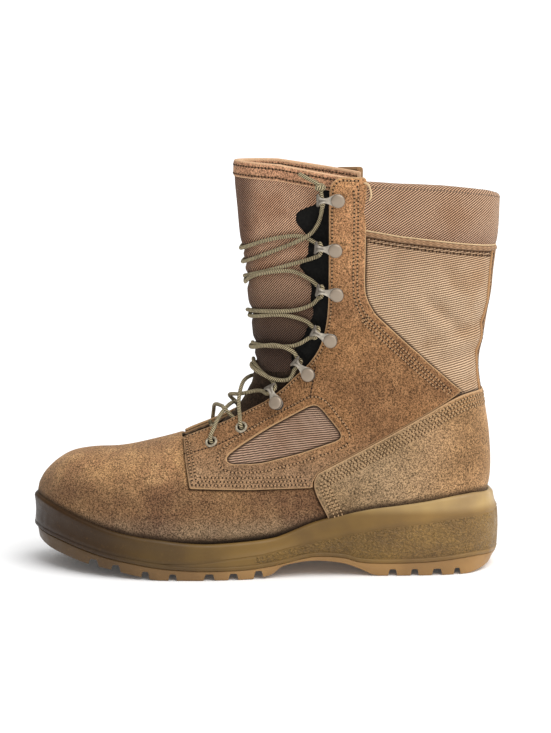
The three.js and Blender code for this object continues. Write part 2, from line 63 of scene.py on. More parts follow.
LINING = 1.0  # the lining's share of the wall
OVERLAY = 1.7  # the quarters and the heel counter
TONGUE = 4.5
LACE_R = 1.3
LACE_PITCH = 1.25  # of its twisted threads
FACE = 1.4  # the outer face of the wall, in front of the lining
STEP = 1.7  # spacing of the fine surfaces
AROUND = 144  # points round each section of the last
TONGUE_AROUND = 120
LONG, TALL = 0, 2  # the axes that colours change along
SIDES = ((1, "lateral"), (-1, "medial"))
UNDER = 3.0  # how near an overlapping piece its shade begins
WEAVE_TILT = 0.12  # the cloth's courses rise towards the toe by this share of X
STITCH = 2.3  # length of a stitch's thread
STITCH_PITCH = 2.4
THREAD_R = 0.42
EDGE_ROUND = 1.1  # how far in from its cut edge a sheet is rounded
BINDING_ROUND = 2.2
CREASED = 48  # degrees between faces from which an edge looks sharp
SMOOTH = 80  # the same on threads and laces
RIM_LAP = 7  # how far the upper goes down behind the midsole's rim
RIM_SLOPE = 0.09  # the collar's rim rises towards the lateral side by this share of Y

# ---- the last: sections from the toe, round the heel, to the collar ----
# dx, dz: the upper end; px, pz: the lower end; lat, med: Y of the widest points; ridge: Y of both
# ends; wide: the widest point's place between the ends; upper, lower: how square each half is
LAST = np.array([
    [305.8, 54.0, 306.0, 34.0, -1, -15, -8, 0.45, 2.0, 2.0],
    [301.8, 61.0, 302.3, 30.0, 7, -23, -8, 0.38, 2.1, 2.3],
    [293.8, 69.0, 294.2, 27.0, 18, -32, -7, 0.32, 2.2, 2.6],
    [283.0, 75.2, 283.5, 24.4, 27, -38.5, -6, 0.28, 2.3, 3.0],
    [268.0, 78.0, 268.0, 21.4, 37, -43.5, -4.5, 0.26, 2.3, 3.4],
    [249.0, 79.0, 249.0, 18.6, 44.5, -47.5, -3, 0.25, 2.2, 3.6],
    [229.0, 83.5, 228.0, 16.4, 49, -49.5, -2, 0.25, 2.05, 3.6],
    [209.0, 89.6, 208.0, 15.6, 49.8, -49, -1, 0.25, 1.9, 3.6],
    [192.0, 98.0, 188.0, 15.6, 49, -45.5, 0, 0.26, 1.75, 3.6],
    [177.0, 107.0, 166.0, 17.0, 46.5, -41.5, 0, 0.28, 1.75, 3.6],
    [165.0, 116.5, 139.0, 21.0, 42.5, -37.5, 0, 0.31, 1.75, 3.8],
    [156.0, 127.0, 109.0, 27.0, 39, -35.5, 0, 0.35, 1.8, 4.2],
    [150.0, 138.0, 77.0, 32.5, 37, -35.5, 0, 0.4, 1.9, 4.5],
    [147.0, 149.0, 44.0, 36.2, 36.5, -36, 0, 0.43, 2.0, 4.2],
    [146.0, 162.0, 18.0, 39.0, 36.5, -36.5, 0, 0.45, 2.1, 3.0],
    [148.0, 176.0, 7.2, 57.0, 36, -36, 0, 0.46, 2.2, 2.5],
    [150.0, 190.0, 7.2, 88.0, 35.5, -35.5, 0, 0.47, 2.3, 2.4],
    [153.0, 205.0, 11.4, 117.0, 35.2, -35.2, 0, 0.47, 2.3, 2.4],
    [157.0, 222.0, 14.0, 139.0, 35.2, -35.2, 0, 0.47, 2.3, 2.4],
    [161.0, 238.0, 9.6, 161.0, 35.6, -35.6, 0, 0.47, 2.3, 2.4],
    [168.0, 263.0, 3.6, 210.0, 36.5, -36.5, 0, 0.47, 2.3, 2.4],
    [173.0, 284.0, 0.4, 262.0, 37, -37, 0, 0.47, 2.3, 2.4],
])
TOE_TIP = np.array([307.2, -8.0, 44.0])
TONGUE_ROWS = np.array([
    [222, 77.5, 206, 20, 43, -43, 0, 0.3, 1.9, 2.4],
    [206, 83.5, 188, 20, 40, -38, 0, 0.3, 1.8, 2.4],
    [193, 89.5, 168, 22, 33, -31, 0, 0.3, 1.8, 2.4],
    [181, 98.5, 146, 28, 25, -24, 0, 0.3, 1.8, 2.4],
    [170, 112, 122, 40, 23, -22.4, 0, 0.3, 1.9, 2.4],
    [163.2, 127, 100, 62, 24.5, -24, 0, 0.3, 2.0, 2.4],
    [160.9, 141, 84, 96, 26.4, -26, 0, 0.3, 2.0, 2.4],
    [161.8, 152, 76, 122, 27.8, -27.6, 0, 0.3, 2.0, 2.4],
    [163.4, 166, 72, 150, 28.8, -28.6, 0, 0.3, 2.0, 2.4],
    [165.6, 186, 70, 180, 29.6, -29.6, 0, 0.3, 2.0, 2.4],
    [173.4, 246, 70, 248, 30.4, -30.4, 0, 0.3, 2.0, 2.4],
    [173.8, 276, 70, 278, 30.8, -30.8, 0, 0.3, 2.0, 2.4],
])
# ---- the sole, from heel to toe: x; the plan outline's two sides; heights of the rim, of the
# line between midsole and outsole, and of the tread; how far each is drawn in
SOLE = np.array([
    [-1.6, -1.4, -2.6, 51, 10.4, 7.5, 3.6, 0.4, 2.4],
    [0.2, 8, -12, 51.5, 10.6, 6.4, 3.4, 0.4, 2.2],
    [5, 19.5, -23.5, 52.5, 11.2, 3.3, 3, 0.4, 2],
    [14, 29.5, -33.5, 53.6, 12, 1, 2.6, 0.4, 1.6],
    [22, 34, -38, 53.2, 11.6, 0, 2.4, 0.4, 1.4],
    [36, 37.5, -41, 51.7, 10.3, 0, 2.2, 0.4, 1.4],
    [54, 39.2, -41.8, 49, 9.2, 0, 2, 0.4, 1.4],
    [79, 40, -39.5, 46.3, 9, 0, 2, 0.4, 1.4],
    [92, 40.6, -37.6, 44.2, 10, 5, 2, 0.6, 1.8],
    [103, 41.3, -36.8, 41.6, 13, 8.8, 2, 0.8, 1.8],
    [122, 43, -36.6, 36.4, 14, 10.8, 2, 0.8, 1.8],
    [141, 46, -39.2, 29, 10.4, 8.2, 2, 0.6, 1.8],
    [150, 47.6, -41, 26.6, 8.8, 2.4, 2, 0.4, 1.6],
    [167, 50.8, -45.4, 25, 7, 0, 2, 0.4, 1.4],
    [190, 53.6, -51, 24, 6.6, 0, 2, 0.4, 1.4],
    [207, 54, -53.6, 24.8, 7.2, 0, 2, 0.4, 1.4],
    [224, 53.2, -54, 26.8, 8.6, 0, 1.8, 0.4, 1.4],
    [240, 50.6, -52.4, 28.6, 10.8, 2.5, 1.5, 0.6, 1.8],
    [258, 45.2, -49, 32, 13.6, 5.6, 1.2, 0.8, 2.2],
    [275, 36.4, -44, 37, 17.2, 8, 0.9, 1, 2.2],
    [289, 26, -38, 41.6, 20.6, 10.8, 0.6, 1.2, 2.6],
    [299, 15.6, -30.4, 45, 22.6, 13, 0.3, 1.4, 2.8],
    [305.4, 5.4, -21.4, 46.8, 23.8, 15, 0, 1.6, 3],
    [308.6, -2.4, -13.6, 47.4, 24.6, 16.6, 0, 1.6, 3],
    [309.3, -7.2, -8.8, 47.5, 24.8, 17, 0, 1.6, 3],
])
LUG_DEPTH = 4.6
# transverse tread gaps: middle and width
TREAD_GAPS = [
    (267, 7), (252, 6.4), (232.4, 5.4), (214.4, 5.6), (190.5, 7.4), (174.7, 6.6), (158.3, 6),
    (70, 6), (55.5, 5.4), (40.6, 7), (27.3, 4.6),
]
CHANNEL_IN = 15  # the tread's channel: how far in from the edge it starts
CHANNEL = 4  # and its width
SOLE_SIDE = 70  # well beyond the sole's sides
FOOTBED = [
    (-5, 37), (20, 36), (40, 35.4), (65, 33.4), (90, 30.2), (115, 26), (140, 21), (165, 17.2),
    (190, 15.6), (215, 15.6), (235, 16.8), (255, 19), (275, 22.5), (290, 26), (300, 30), (310, 36),
]

# ---- side-view outlines, X and Z ----
# the groove between the midsole's smooth upper part and its pebbled panel
ARCH_LINE = [
    (-20, 38.6), (7, 38.6), (22, 38.6), (36, 36.9), (56.6, 34.2), (77.4, 31.7), (101.6, 27.6), (117, 24.4),
    (136, 20.4), (155, 16), (178.8, 13.5), (200, 11), (320, 9),
]
FACING_TOP = 263
FACING_EDGE = [
    (207.8, 87.2), (195, 92.6), (178, 99.3), (163, 107.6), (152.6, 113.4), (142, 122), (134.6, 130),
    (125.6, 138.7), (118.2, 149.9), (114.3, 163), (112.6, 177), (112.4, 215), (112.6, 254),
    (110.8, 260), (105.7, 263),
]
FACING_REAR = [(88.5, 263), (88.8, 228), (89.3, 190.5), (87.9, 182.7), (82.7, 174)]
PANEL_EDGE = [(82.7, 174), (53.3, 146.6), (25.7, 121.6)]
COLLAR_FRONT = 88
COLLAR_SEAM = [(-40, 210), (8.8, 216.6), (41, 221), (67, 224.4), (COLLAR_FRONT + 6, 229.1)]
COLLAR_RIM = [(-40, 246), (0, 249.2), (9, 251.2), (41, 254.4), (69, 255.6), (COLLAR_FRONT + 6, 257.2)]
COUNTER_TOP = [(-40, 117), (8, 119.2), (20, 120.4), (33.7, 116), (66, 97.6), (98.6, 79.6), (119.4, 69)]
COUNTER_FRONT = [(119.4, 69), (122.7, 63), (120.7, 54.9), (112.8, 39.6)]
QUARTER_LOW = [(122.9, 59.6), (163.8, 58.9), (203.3, 59.6)]
QUARTER_FRONT = [(203.3, 59.6), (205.5, 73), (207.8, 87.2)]
WINDOW = [
    (180.3, 78.5), (177.5, 74.4), (157.3, 75.2), (131.2, 81.8), (105.4, 90.7), (103.6, 94.6),
    (118.2, 112.4), (122.8, 113.4), (150.8, 97.8), (170.3, 85.8),
]
STAY_SEAM = [(212, 77), (199, 80.6), (186, 84.6), (172, 91.4), (152, 102.4), (136, 111.6), (124, 119)]
TONGUE_TOP = [(180, 271.5), (146, 270), (120, 265.6), (90, 260.5)]
TONGUE_REAR = [(90, 260.5), (97, 150), (104, 122), (122, 100), (146, 80), (176, 66), (222, 60)]
# runs of the quarter's outline, in order, and the window's
LOW_RUN, FRONT_RUN, FACING_RUN, REAR_RUN, PANEL_RUN = range(5)
WINDOW_RUN = 9
# where the tongue's twill meets its gusset, a recessed dark cloth painted near black for the shade between
# tongue and facing
GUSSET_EDGE = [
    (117, 262), (118, 250), (120.7, 244.8), (128.5, 242.4), (134, 239), (133.6, 233), (129.8, 226.1),
    (125.2, 220.8), (125.9, 212.1), (129.8, 207.5), (132.2, 203.4), (127.9, 198.8), (124.6, 192.8),
    (123.8, 183.4), (123.4, 172.3), (124.5, 166), (128.3, 159.5), (132.4, 152.5), (137, 144), (138, 130),
    (150, 118),
]

# speed hooks: the rivet's place and the way each points; eyelets
HOOKS = [
    (106.4, 248.4, 1, 0), (107.5, 216, 1, 0.1), (106.5, 187.2, 1, 0.18),
    (110.1, 157, 0.9, 0.42), (124, 132.3, 0.75, 0.66), (144.6, 111.8, 0.5, 0.86),
]
EYELETS = [(169.1, 96.2), (188.8, 86.4)]


# ---- numbers and curves ----
def unit(v):
    return v / np.maximum(np.linalg.norm(v, axis=-1, keepdims=True), 1e-9)


def smooth_step(x):
    x = np.clip(x, 0, 1)
    return x * x * (3 - 2 * x)


def mix_rows(rows, s):
    """Catmull-Rom between a table's rows, at places s counted in rows."""
    i = np.clip(np.floor(s).astype(int), 0, len(rows) - 2)
    a, b, c, d = (rows[np.clip(i + k, 0, len(rows) - 1)] for k in (-1, 0, 1, 2))
    t = (s - i)[:, None]
    slope, onward = (c - a) / 2, (d - b) / 2
    return b + t * (slope + t * (3 * (c - b) - 2 * slope - onward + t * (2 * (b - c) + slope + onward)))


def lengths(line):
    """The length along a line up to each of its points."""
    return np.r_[0, np.cumsum(np.linalg.norm(np.diff(line, axis=0), axis=1))]


def resampled(at, along, rows):
    """Rows of numbers, known at places along a line, between them."""
    return np.stack([np.interp(at, along, column) for column in rows.T], 1)


def spaced(line, step):
    """The points a step apart on a line."""
    along = lengths(line)
    return resampled(np.linspace(0, along[-1], max(2, round(along[-1] / step) + 1)), along, line)


def spline(points, step):
    """A smooth curve through points, as points a step apart."""
    points = np.array(points, float)
    return spaced(mix_rows(points, np.linspace(0, len(points) - 1, 24 * len(points))), step)


def rounded(points, radius):
    """A polyline whose inner corners are eased over a radius."""
    points = np.array(points, float)
    out = [points[0]]
    for a, b, c in zip(points, points[1:], points[2:]):
        reach_a = min(radius, np.linalg.norm(a - b) / 2)
        reach_c = min(radius, np.linalg.norm(c - b) / 2)
        start, end = b + unit(a - b) * reach_a, b + unit(c - b) * reach_c
        for t in np.linspace(0, 1, 5):
            out.append((1 - t) ** 2 * start + 2 * t * (1 - t) * b + t * t * end)
    return np.array([*out, points[-1]])


def height_on(line, x):
    """The height of a side-view line at X."""
    return np.interp(x, *np.array(line).T)


def to_frame(points):
    """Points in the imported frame's metres."""
    shifted = np.array(points, float)
    shifted[..., 0] += CAD_LOW.x / MM - SOLE[0, 0]
    return shifted * MM


# ---- triangle skins that carry values at their points ----
def crossings(values, ends):
    """The pairs of points between which a value passes zero, each row's pair, and how far along it is."""
    pairs, place = np.unique(np.sort(ends, 1), axis=0, return_inverse=True)
    first, second = values[pairs].T
    return pairs, place.ravel(), (first / (first - second))[:, None]


def between(array, pairs, share):
    return array[pairs[:, 0]] * (1 - share) + array[pairs[:, 1]] * share


def chains(pairs):
    """Numbers joined two by two, as lines of numbers; a closed line ends where it starts."""
    links = {}
    for a, b in pairs:
        links.setdefault(a, []).append(b)
        links.setdefault(b, []).append(a)
    lines, seen = [], set()
    for start in [k for k in links if len(links[k]) == 1] + sorted(links):
        line = []
        onward = [] if start in seen else [start]
        while onward:
            line.append(onward[0])
            seen.add(onward[0])
            onward = [k for k in links[line[-1]] if k not in seen]
        if len(line) > 3:
            closed = line[0] in links[line[-1]] and len(line) > 8
            lines.append(line + line[:1] if closed else line)
    return lines


class Skin:
    """Points, unit normals and triangles in millimetres, with named values at each point."""

    def __init__(self, points, triangles, normals=None, **values):
        self.points, self.triangles = points, triangles
        self.normals = normals_of(points, triangles) if normals is None else normals
        self.values = values

    def copy(self):
        return Skin(self.points, self.triangles, self.normals, **self.values)

    def pushed(self, distance):
        """The skin moved along its normals."""
        return Skin(self.points + self.normals * distance[:, None], self.triangles, **self.values)

    def split(self, name, level=0.0):
        """Divides the triangles that a level of a value crosses, so that points lie on it."""
        v = self.values[name] - level
        v = np.where(abs(v) < 0.02, 0, v)
        signs = np.sign(v[self.triangles])
        crossing = (signs.min(1) < 0) & (signs.max(1) > 0)
        whole, cut = self.triangles[~crossing], self.triangles[crossing]
        signs = signs[crossing]
        touches = (signs == 0).any(1)
        odd_one = (signs == -np.sign(signs.sum(1))[:, None]).argmax(1)
        first = np.where(touches, (signs == 0).argmax(1), odd_one)
        cut = np.take_along_axis(cut, (first[:, None] + np.arange(3)) % 3, 1)
        ends = [cut[touches][:, [1, 2]], cut[~touches][:, [0, 1]], cut[~touches][:, [0, 2]]]
        pairs, place, share = crossings(v, np.concatenate(ends))
        base = len(self.points)
        through, second, third = np.split(place + base, np.cumsum([len(rows) for rows in ends[:2]]))
        a, b, c = cut[touches].T
        d, e, f = cut[~touches].T
        parts = [(a, b, through), (a, through, c), (d, second, third), (second, e, f), (second, f, third)]
        triangles = np.concatenate([whole, *[np.stack(part, 1) for part in parts]])

        def blend(array):
            made = between(array.reshape(base, -1), pairs, share)
            return np.concatenate([array, made.reshape(-1, *array.shape[1:])])

        values = {key: blend(array) for key, array in self.values.items()}
        if "run" in values:
            values["run"][base:] = self.values["run"][pairs[:, 0]]
        values[name][base:] = level
        return Skin(blend(self.points), triangles, unit(blend(self.normals)), **values)

    def keep(self, mask):
        """Only the triangles that a mask names, and their points."""
        used, place = np.unique(self.triangles[mask], return_inverse=True)
        values = {key: array[used] for key, array in self.values.items()}
        return Skin(self.points[used], place.reshape(-1, 3), self.normals[used], **values)

    def above(self, name, level=0.0):
        """The part where a value is over a level, cut exactly there."""
        cut = self.split(name, level)
        return cut.keep(cut.values[name][cut.triangles].mean(1) > level)

    def on_side(self, side):
        """The lateral half, 1, or the medial half, -1."""
        return self.keep(self.points[self.triangles][..., 1].mean(1) * side > 0)

    def sides(self):
        """Each triangle's three directed sides."""
        return self.triangles[:, [[0, 1], [1, 2], [2, 0]]]

    def shell(self, outer, inner):
        """A closed sheet between two offsets along the normals."""
        n = len(self.points)
        outer, inner = (np.broadcast_to(x, n)[:, None] for x in (outer, inner))
        points = np.concatenate([self.points + self.normals * outer, self.points + self.normals * inner])
        sides = self.sides().reshape(-1, 2)
        _, place, count = np.unique(np.sort(sides, 1), axis=0, return_inverse=True, return_counts=True)
        a, b = sides[count[place.ravel()] == 1].T
        triangles = np.concatenate([
            self.triangles, self.triangles[:, ::-1] + n,
            np.stack([b, a, a + n], 1), np.stack([b, a + n, b + n], 1)])
        values = {key: np.concatenate([array, array]) for key, array in self.values.items()}
        if "edge" in values:
            values["edge"][n:] -= 1.0
        return points, triangles, values

    def trace(self, name, level):
        """The lines where a value has a level: points, normals and runs along each."""
        v = self.values[name] - level
        inside = v > 0
        sides = self.sides()
        crossed = inside[sides[..., 0]] != inside[sides[..., 1]]
        rows = crossed.sum(1) == 2
        pairs, place, share = crossings(v, sides[rows][crossed[rows]])
        points = between(self.points, pairs, share)
        normals = unit(between(self.normals, pairs, share))
        runs = self.values["run"][pairs[:, 0]] if "run" in self.values else np.zeros(len(pairs))
        return [(points[line], normals[line], runs[line]) for line in chains(place.reshape(-1, 2).tolist())]


def grid_triangles(rows, columns, closed=True, ring=False):
    """Triangles of a grid of points: closed joins each row's ends, ring joins the last row to the first."""
    i = np.arange(rows if ring else rows - 1)[:, None]
    j = np.arange(columns if closed else columns - 1)
    row, next_row, next_j = i * columns, (i + 1) % rows * columns, (j + 1) % columns
    a, b, c, d = row + j, row + next_j, next_row + next_j, next_row + j
    return np.concatenate([np.stack([a, d, c], -1).reshape(-1, 3), np.stack([a, c, b], -1).reshape(-1, 3)])


def normals_of(points, triangles):
    corners = points[triangles]
    faces = np.cross(corners[:, 1] - corners[:, 0], corners[:, 2] - corners[:, 0])
    normals = np.zeros_like(points)
    for k in range(3):
        np.add.at(normals, triangles[:, k], faces)
    return unit(normals)


# ---- the last and the tongue as fine skins ----
def section(rows, angle):
    """Points of sections: angle 0 lateral, a quarter turn at the upper end, a half turn medial."""
    dx, dz, px, pz, lat, med, ridge, wide, upper, lower = rows.T[:, :, None]
    c, s = np.cos(angle), np.sin(angle)
    power = 2 / np.where(s > 0, upper, lower)
    t = wide + np.sign(s) * np.where(s > 0, 1 - wide, wide) * abs(s) ** power
    y = ridge + np.sign(c) * np.where(c > 0, lat - ridge, ridge - med) * abs(c) ** power
    return np.stack([px + (dx - px) * t, y, pz + (dz - pz) * t], -1)


def even_sections(table, step, around):
    """Sections about a step apart, their points evenly spaced within each quarter turn, and arc lengths."""
    rows = mix_rows(table, even_places(table, step))
    warp = (1 - np.cos(np.linspace(0, math.pi, 160))) / 2
    points, arcs, start = [], [], np.zeros(len(rows))
    for quarter in range(4):
        dense = section(rows, (quarter + warp) * math.pi / 2)
        along = np.cumsum(np.linalg.norm(np.diff(dense, axis=1), axis=2), axis=1)
        along = np.concatenate([np.zeros((len(rows), 1)), along], 1)
        even = np.linspace(0, 1, around // 4 + 1)[:-1]
        for i in range(len(rows)):
            at = even * along[i, -1]
            points.append(resampled(at, along[i], dense[i]))
            arcs.append(start[i] + at)
        start = start + along[:, -1]
    shape = (4, len(rows), around // 4)
    points = np.array(points).reshape(*shape, 3).transpose(1, 0, 2, 3).reshape(len(rows), around, 3)
    return points, np.array(arcs).reshape(shape).transpose(1, 0, 2).reshape(len(rows), around), start


def even_places(rows, step):
    """Places along a table so that its sections are a step apart where they are furthest apart."""
    fine = np.linspace(0, len(rows) - 1, 40 * len(rows))
    ends = section(mix_rows(rows, fine), np.array([0, math.pi / 2, math.pi * 1.5]))
    along = np.r_[0, np.cumsum(np.linalg.norm(np.diff(ends, axis=0), axis=2).max(1))]
    return np.interp(np.linspace(0, along[-1], round(along[-1] / step)), along, fine)


def last_skin(step, around):
    """The last, closed by a dome at the toe; its arc runs from the lower ends' middle line."""
    points, arcs, totals = even_sections(LAST, step, around)
    front = np.arange(around) <= around // 4
    arcs = np.where(front, arcs + totals[:, None], arcs) - arcs[:, 3 * around // 4, None]
    dome = np.linspace(0.08, 0.94, 9)[:, None, None]
    cap = TOE_TIP + (points[0] - TOE_TIP) * np.concatenate([dome ** 2, dome, dome], 2)
    points = np.concatenate([cap, points])
    arcs = np.concatenate([np.repeat(arcs[:1], len(dome), 0), arcs])
    tip = np.full(around, points[..., 0].size)
    j = np.arange(around)
    fan = np.stack([tip, j, (j + 1) % around], 1)
    triangles = np.concatenate([grid_triangles(len(points), around), fan])
    points = np.concatenate([points.reshape(-1, 3), TOE_TIP[None]])
    return Skin(points, triangles, arc=np.r_[arcs.ravel(), 99])


def tongue_skin(step, around):
    points, arcs, _ = even_sections(TONGUE_ROWS, step, around)
    arc = (arcs - arcs[:, around // 4, None]).ravel()
    return Skin(points.reshape(-1, 3), grid_triangles(len(points), around), arc=arc)


def outline_field(runs, skin):
    """How far inside a side-view outline each point is, along the surface, and its nearest run.

    runs is a list of polylines that follow each other round the outline.
    """
    p = skin.points[:, [0, 2]]
    best = np.full(len(p), np.inf)
    nearest, run, odd = np.zeros_like(p), np.zeros(len(p)), np.zeros(len(p), bool)
    for k, (line, after) in enumerate(zip(runs, [*runs[1:], runs[0]])):
        line = np.array([*line, after[0]], float)
        for start, side in zip(line, np.diff(line, axis=0)):
            if side @ side < 1e-9:
                continue
            t = np.clip((p - start) @ side / (side @ side), 0, 1)
            foot = start + t[:, None] * side
            far = np.linalg.norm(p - foot, axis=1)
            closer = far < best
            best[closer], nearest[closer], run[closer] = far[closer], foot[closer], k
            straddles = (start[1] > p[:, 1]) != (start[1] + side[1] > p[:, 1])
            if abs(side[1]) > 1e-9:
                odd ^= straddles & (p[:, 0] < start[0] + (p[:, 1] - start[1]) * side[0] / side[1])
    away = unit(p - nearest)
    lean = away[:, 0] * skin.normals[:, 0] + away[:, 1] * skin.normals[:, 2]
    along = best / np.sqrt(np.maximum(1 - lean ** 2, 0.12))
    return np.where(odd, along, -along), run


# ---- materials ----
class Look:
    """A material whose nodes are made by short calls; textures read millimetres."""

    def __init__(self, name, roughness, metallic=0.0, specular=0.3, sheen=0.0, sheen_tint=(1, 1, 1)):
        self.material = bpy.data.materials.new(name)
        self.material.use_nodes = True
        self.shader = self.material.node_tree.nodes["Principled BSDF"]
        self.feed(self.shader, {
            "Roughness": roughness, "Metallic": metallic, "Specular IOR Level": specular,
            "Sheen Weight": sheen, "Sheen Roughness": 0.5, "Sheen Tint": (*sheen_tint, 1)})
        place = self.node("ShaderNodeTexCoord").outputs["Object"]
        in_mm = self.node("ShaderNodeVectorMath", {0: place, "Scale": 1 / MM}, operation="SCALE")
        self.place = in_mm.outputs[0]

    def feed(self, node, sources):
        """Links or sets a node's inputs, each by its name or number."""
        for key, source in sources.items():
            if isinstance(source, bpy.types.NodeSocket):
                self.material.node_tree.links.new(source, node.inputs[key])
            else:
                node.inputs[key].default_value = source

    def node(self, kind, sources=None, **settings):
        made = self.material.node_tree.nodes.new(kind)
        for key, value in settings.items():
            setattr(made, key, value)
        self.feed(made, sources or {})
        return made

    def value(self, name, output="Fac"):
        """A value that a mesh carries at its points."""
        return self.node("ShaderNodeAttribute", attribute_name=name).outputs[output]

    def axis(self, index, vector=None):
        return self.node("ShaderNodeSeparateXYZ", {0: vector or self.place}).outputs[index]

    def noise(self, size, detail=3.0, roughness=0.55, stretch=(1, 1, 1), distortion=0.0):
        """Noise of a size in millimetres; its pattern is squeezed where stretch is over 1."""
        place = self.place
        if stretch != (1, 1, 1):
            place = self.node("ShaderNodeVectorMath", {0: place, 1: stretch}, operation="MULTIPLY").outputs[0]
        return self.node("ShaderNodeTexNoise", {
            "Vector": place, "Scale": 1 / size, "Detail": detail, "Roughness": roughness,
            "Distortion": distortion}).outputs["Fac"]

    def math(self, operation, *sources):
        return self.node("ShaderNodeMath", dict(enumerate(sources)), operation=operation).outputs[0]

    def fit(self, *limits):
        """A value taken smoothly from one range to another: (value, low, high, to_low, to_high)."""
        sources = dict(enumerate(limits))
        return self.node("ShaderNodeMapRange", sources, interpolation_type="SMOOTHSTEP").outputs[0]

    def mix(self, share, a, b, blend="MIX"):
        """Two colours mixed; 6 and 7 are the node's colour inputs, and 2 its colour output."""
        sources = {0: share, 6: colour(a), 7: colour(b)}
        return self.node("ShaderNodeMix", sources, data_type="RGBA", blend_type=blend).outputs[2]

    def brightened(self, base, factor):
        grey = self.node("ShaderNodeCombineXYZ", dict.fromkeys(range(3), factor)).outputs[0]
        return self.mix(1.0, base, grey, "MULTIPLY")

    def graded(self, base, grades):
        """The colour times tints that change along an axis: (axis, from, to, tint, tint)."""
        for index, low, high, first, last in grades:
            tint = self.mix(self.fit(self.axis(index), low, high), (*first, 1), (*last, 1))
            base = self.mix(1.0, base, tint, "MULTIPLY")
        return base

    def shaded_under(self, base):
        """The colour, darkened close to the pieces that lie over it."""
        share = self.fit(self.value("under"), UNDER - 2.2, UNDER - 0.2, 0, 0.88)
        return self.mix(share, base, "24160d")

    def ridges(self, coordinate, pitch):
        """0 to 1 waves across a coordinate."""
        turn = self.math("MULTIPLY", coordinate, 2 * math.pi / pitch)
        return self.math("MULTIPLY_ADD", self.math("SINE", turn), 0.5, 0.5)

    def finish(self, base, height=0.0, depth=0.0, roughness=None):
        """The finished material: colour, a bump of a depth in millimetres, and any varied roughness."""
        sources = {"Base Color": base}
        if depth:
            bump = self.node("ShaderNodeBump", {"Strength": 1.0, "Distance": depth * MM, "Height": height})
            sources["Normal"] = bump.outputs[0]
        if roughness is not None:
            sources["Roughness"] = roughness
        self.feed(self.shader, sources)
        return self.material


def colour(text):
    """A hex colour as linear light; sockets and tints stay as they are."""
    if not isinstance(text, str):
        return text
    parts = [int(text[i:i + 2], 16) / 255 for i in (0, 2, 4)]
    return (*[p / 12.92 if p < 0.04045 else ((p + 0.055) / 1.055) ** 2.4 for p in parts], 1)


def suede(name, dark, middle, light, edge_and_highlight_colour, grades=()):
    """Rough-out leather: blotches, a short nap, and a pale cut edge that also paints the highlight along the
    edge.
    """
    look = Look(name, 0.95, specular=0.12, sheen=0.25, sheen_tint=(0.9, 0.72, 0.52))
    patch = look.noise(10, 4, 0.6)
    nap = look.noise(0.95, 3, 0.65, (1.0, 1.0, 0.8), 0.6)
    hair = look.noise(0.5, 2, 0.7, (0.6, 0.6, 1.25), 0.4)
    base = look.mix(look.fit(look.noise(48, 3, 0.5), 0.35, 0.65), dark, middle)
    base = look.mix(look.fit(patch, 0.42, 0.78, 0, 0.42), base, light)
    grain = look.math("MULTIPLY", look.math("ADD", nap, hair), 0.5)
    base = look.brightened(base, look.fit(grain, 0.41, 0.59, 0.3, 1.72))
    base = look.shaded_under(look.graded(base, grades))
    # the cut edge: its own pale colour and a painted highlight
    base = look.mix(look.fit(look.value("edge"), 0.1, 1.0, 0.95, 0.0), base, edge_and_highlight_colour)
    return look.finish(base, look.math("MULTIPLY_ADD", patch, 2.0, grain), 0.38)


def twill(name, low, high, stain, pitch, slant, cross=0.0, shine=0.2, grades=()):
    """Woven cloth: slanted ribs in the weave coordinates, broken into single floats."""
    look = Look(name, 0.85, specular=0.2, sheen=shine, sheen_tint=(0.95, 0.85, 0.72))
    weave = look.value("weave", "Vector")
    u, v = look.axis(0, weave), look.axis(1, weave)
    wobble = look.math("MULTIPLY", look.noise(9, 2, 0.5), 0.8)
    rib = look.ridges(look.math("MULTIPLY_ADD", u, slant, look.math("ADD", v, wobble)), pitch)
    floats = look.ridges(look.math("MULTIPLY_ADD", v, -0.6 * cross, u), pitch * 0.8)
    thread = look.math("MULTIPLY", rib, look.math("MULTIPLY_ADD", floats, 0.45, 0.55))
    woven = look.math("MULTIPLY_ADD", look.noise(0.8, 3, 0.7), 0.4, thread)
    base = look.mix(look.fit(woven, 0.25, 1.0), low, high)
    base = look.mix(look.fit(look.noise(26, 4, 0.6), 0.42, 0.75, 0, 0.6), base, stain, "MULTIPLY")
    return look.finish(look.shaded_under(look.graded(base, grades)), woven, 0.5)


def rubber(name, dark, light, toe_shade_colour, grades=()):
    """Moulded sole: pebbled where its points say so, smooth elsewhere, and darker towards the toe with
    painted shade.
    """
    look = Look(name, 0.5, specular=0.28)
    base = look.mix(look.fit(look.noise(40, 3, 0.5), 0.35, 0.7), dark, light)
    # painted shade: the colour darkens towards the toe
    base = look.mix(look.fit(look.axis(LONG), -20.0, 140.0, 0.0, 0.85), base, toe_shade_colour)
    base = look.mix(look.fit(look.noise(2.2, 4, 0.7), 0.55, 0.8, 0, 0.35), base, light)
    base = look.graded(base, grades)
    pebbles = look.math("SUBTRACT", look.noise(1.05, 1, 0.5, (0.7, 1.0, 1.0), 0.9), 0.5)
    grit = look.math("MULTIPLY", pebbles, look.fit(look.value("pebble"), 0.0, 0.8))
    # painted light on the pebbles: lighter on their raised tops, darker in the hollows between them
    base = look.brightened(base, look.fit(grit, -0.16, 0.16, 0.76, 1.26))
    height = look.math("MULTIPLY_ADD", look.noise(0.7, 2, 0.6), 0.15, look.math("MULTIPLY", grit, 3.0))
    return look.finish(base, height, 0.6, look.fit(look.noise(6, 3, 0.6), 0.3, 0.7, 0.34, 0.52))


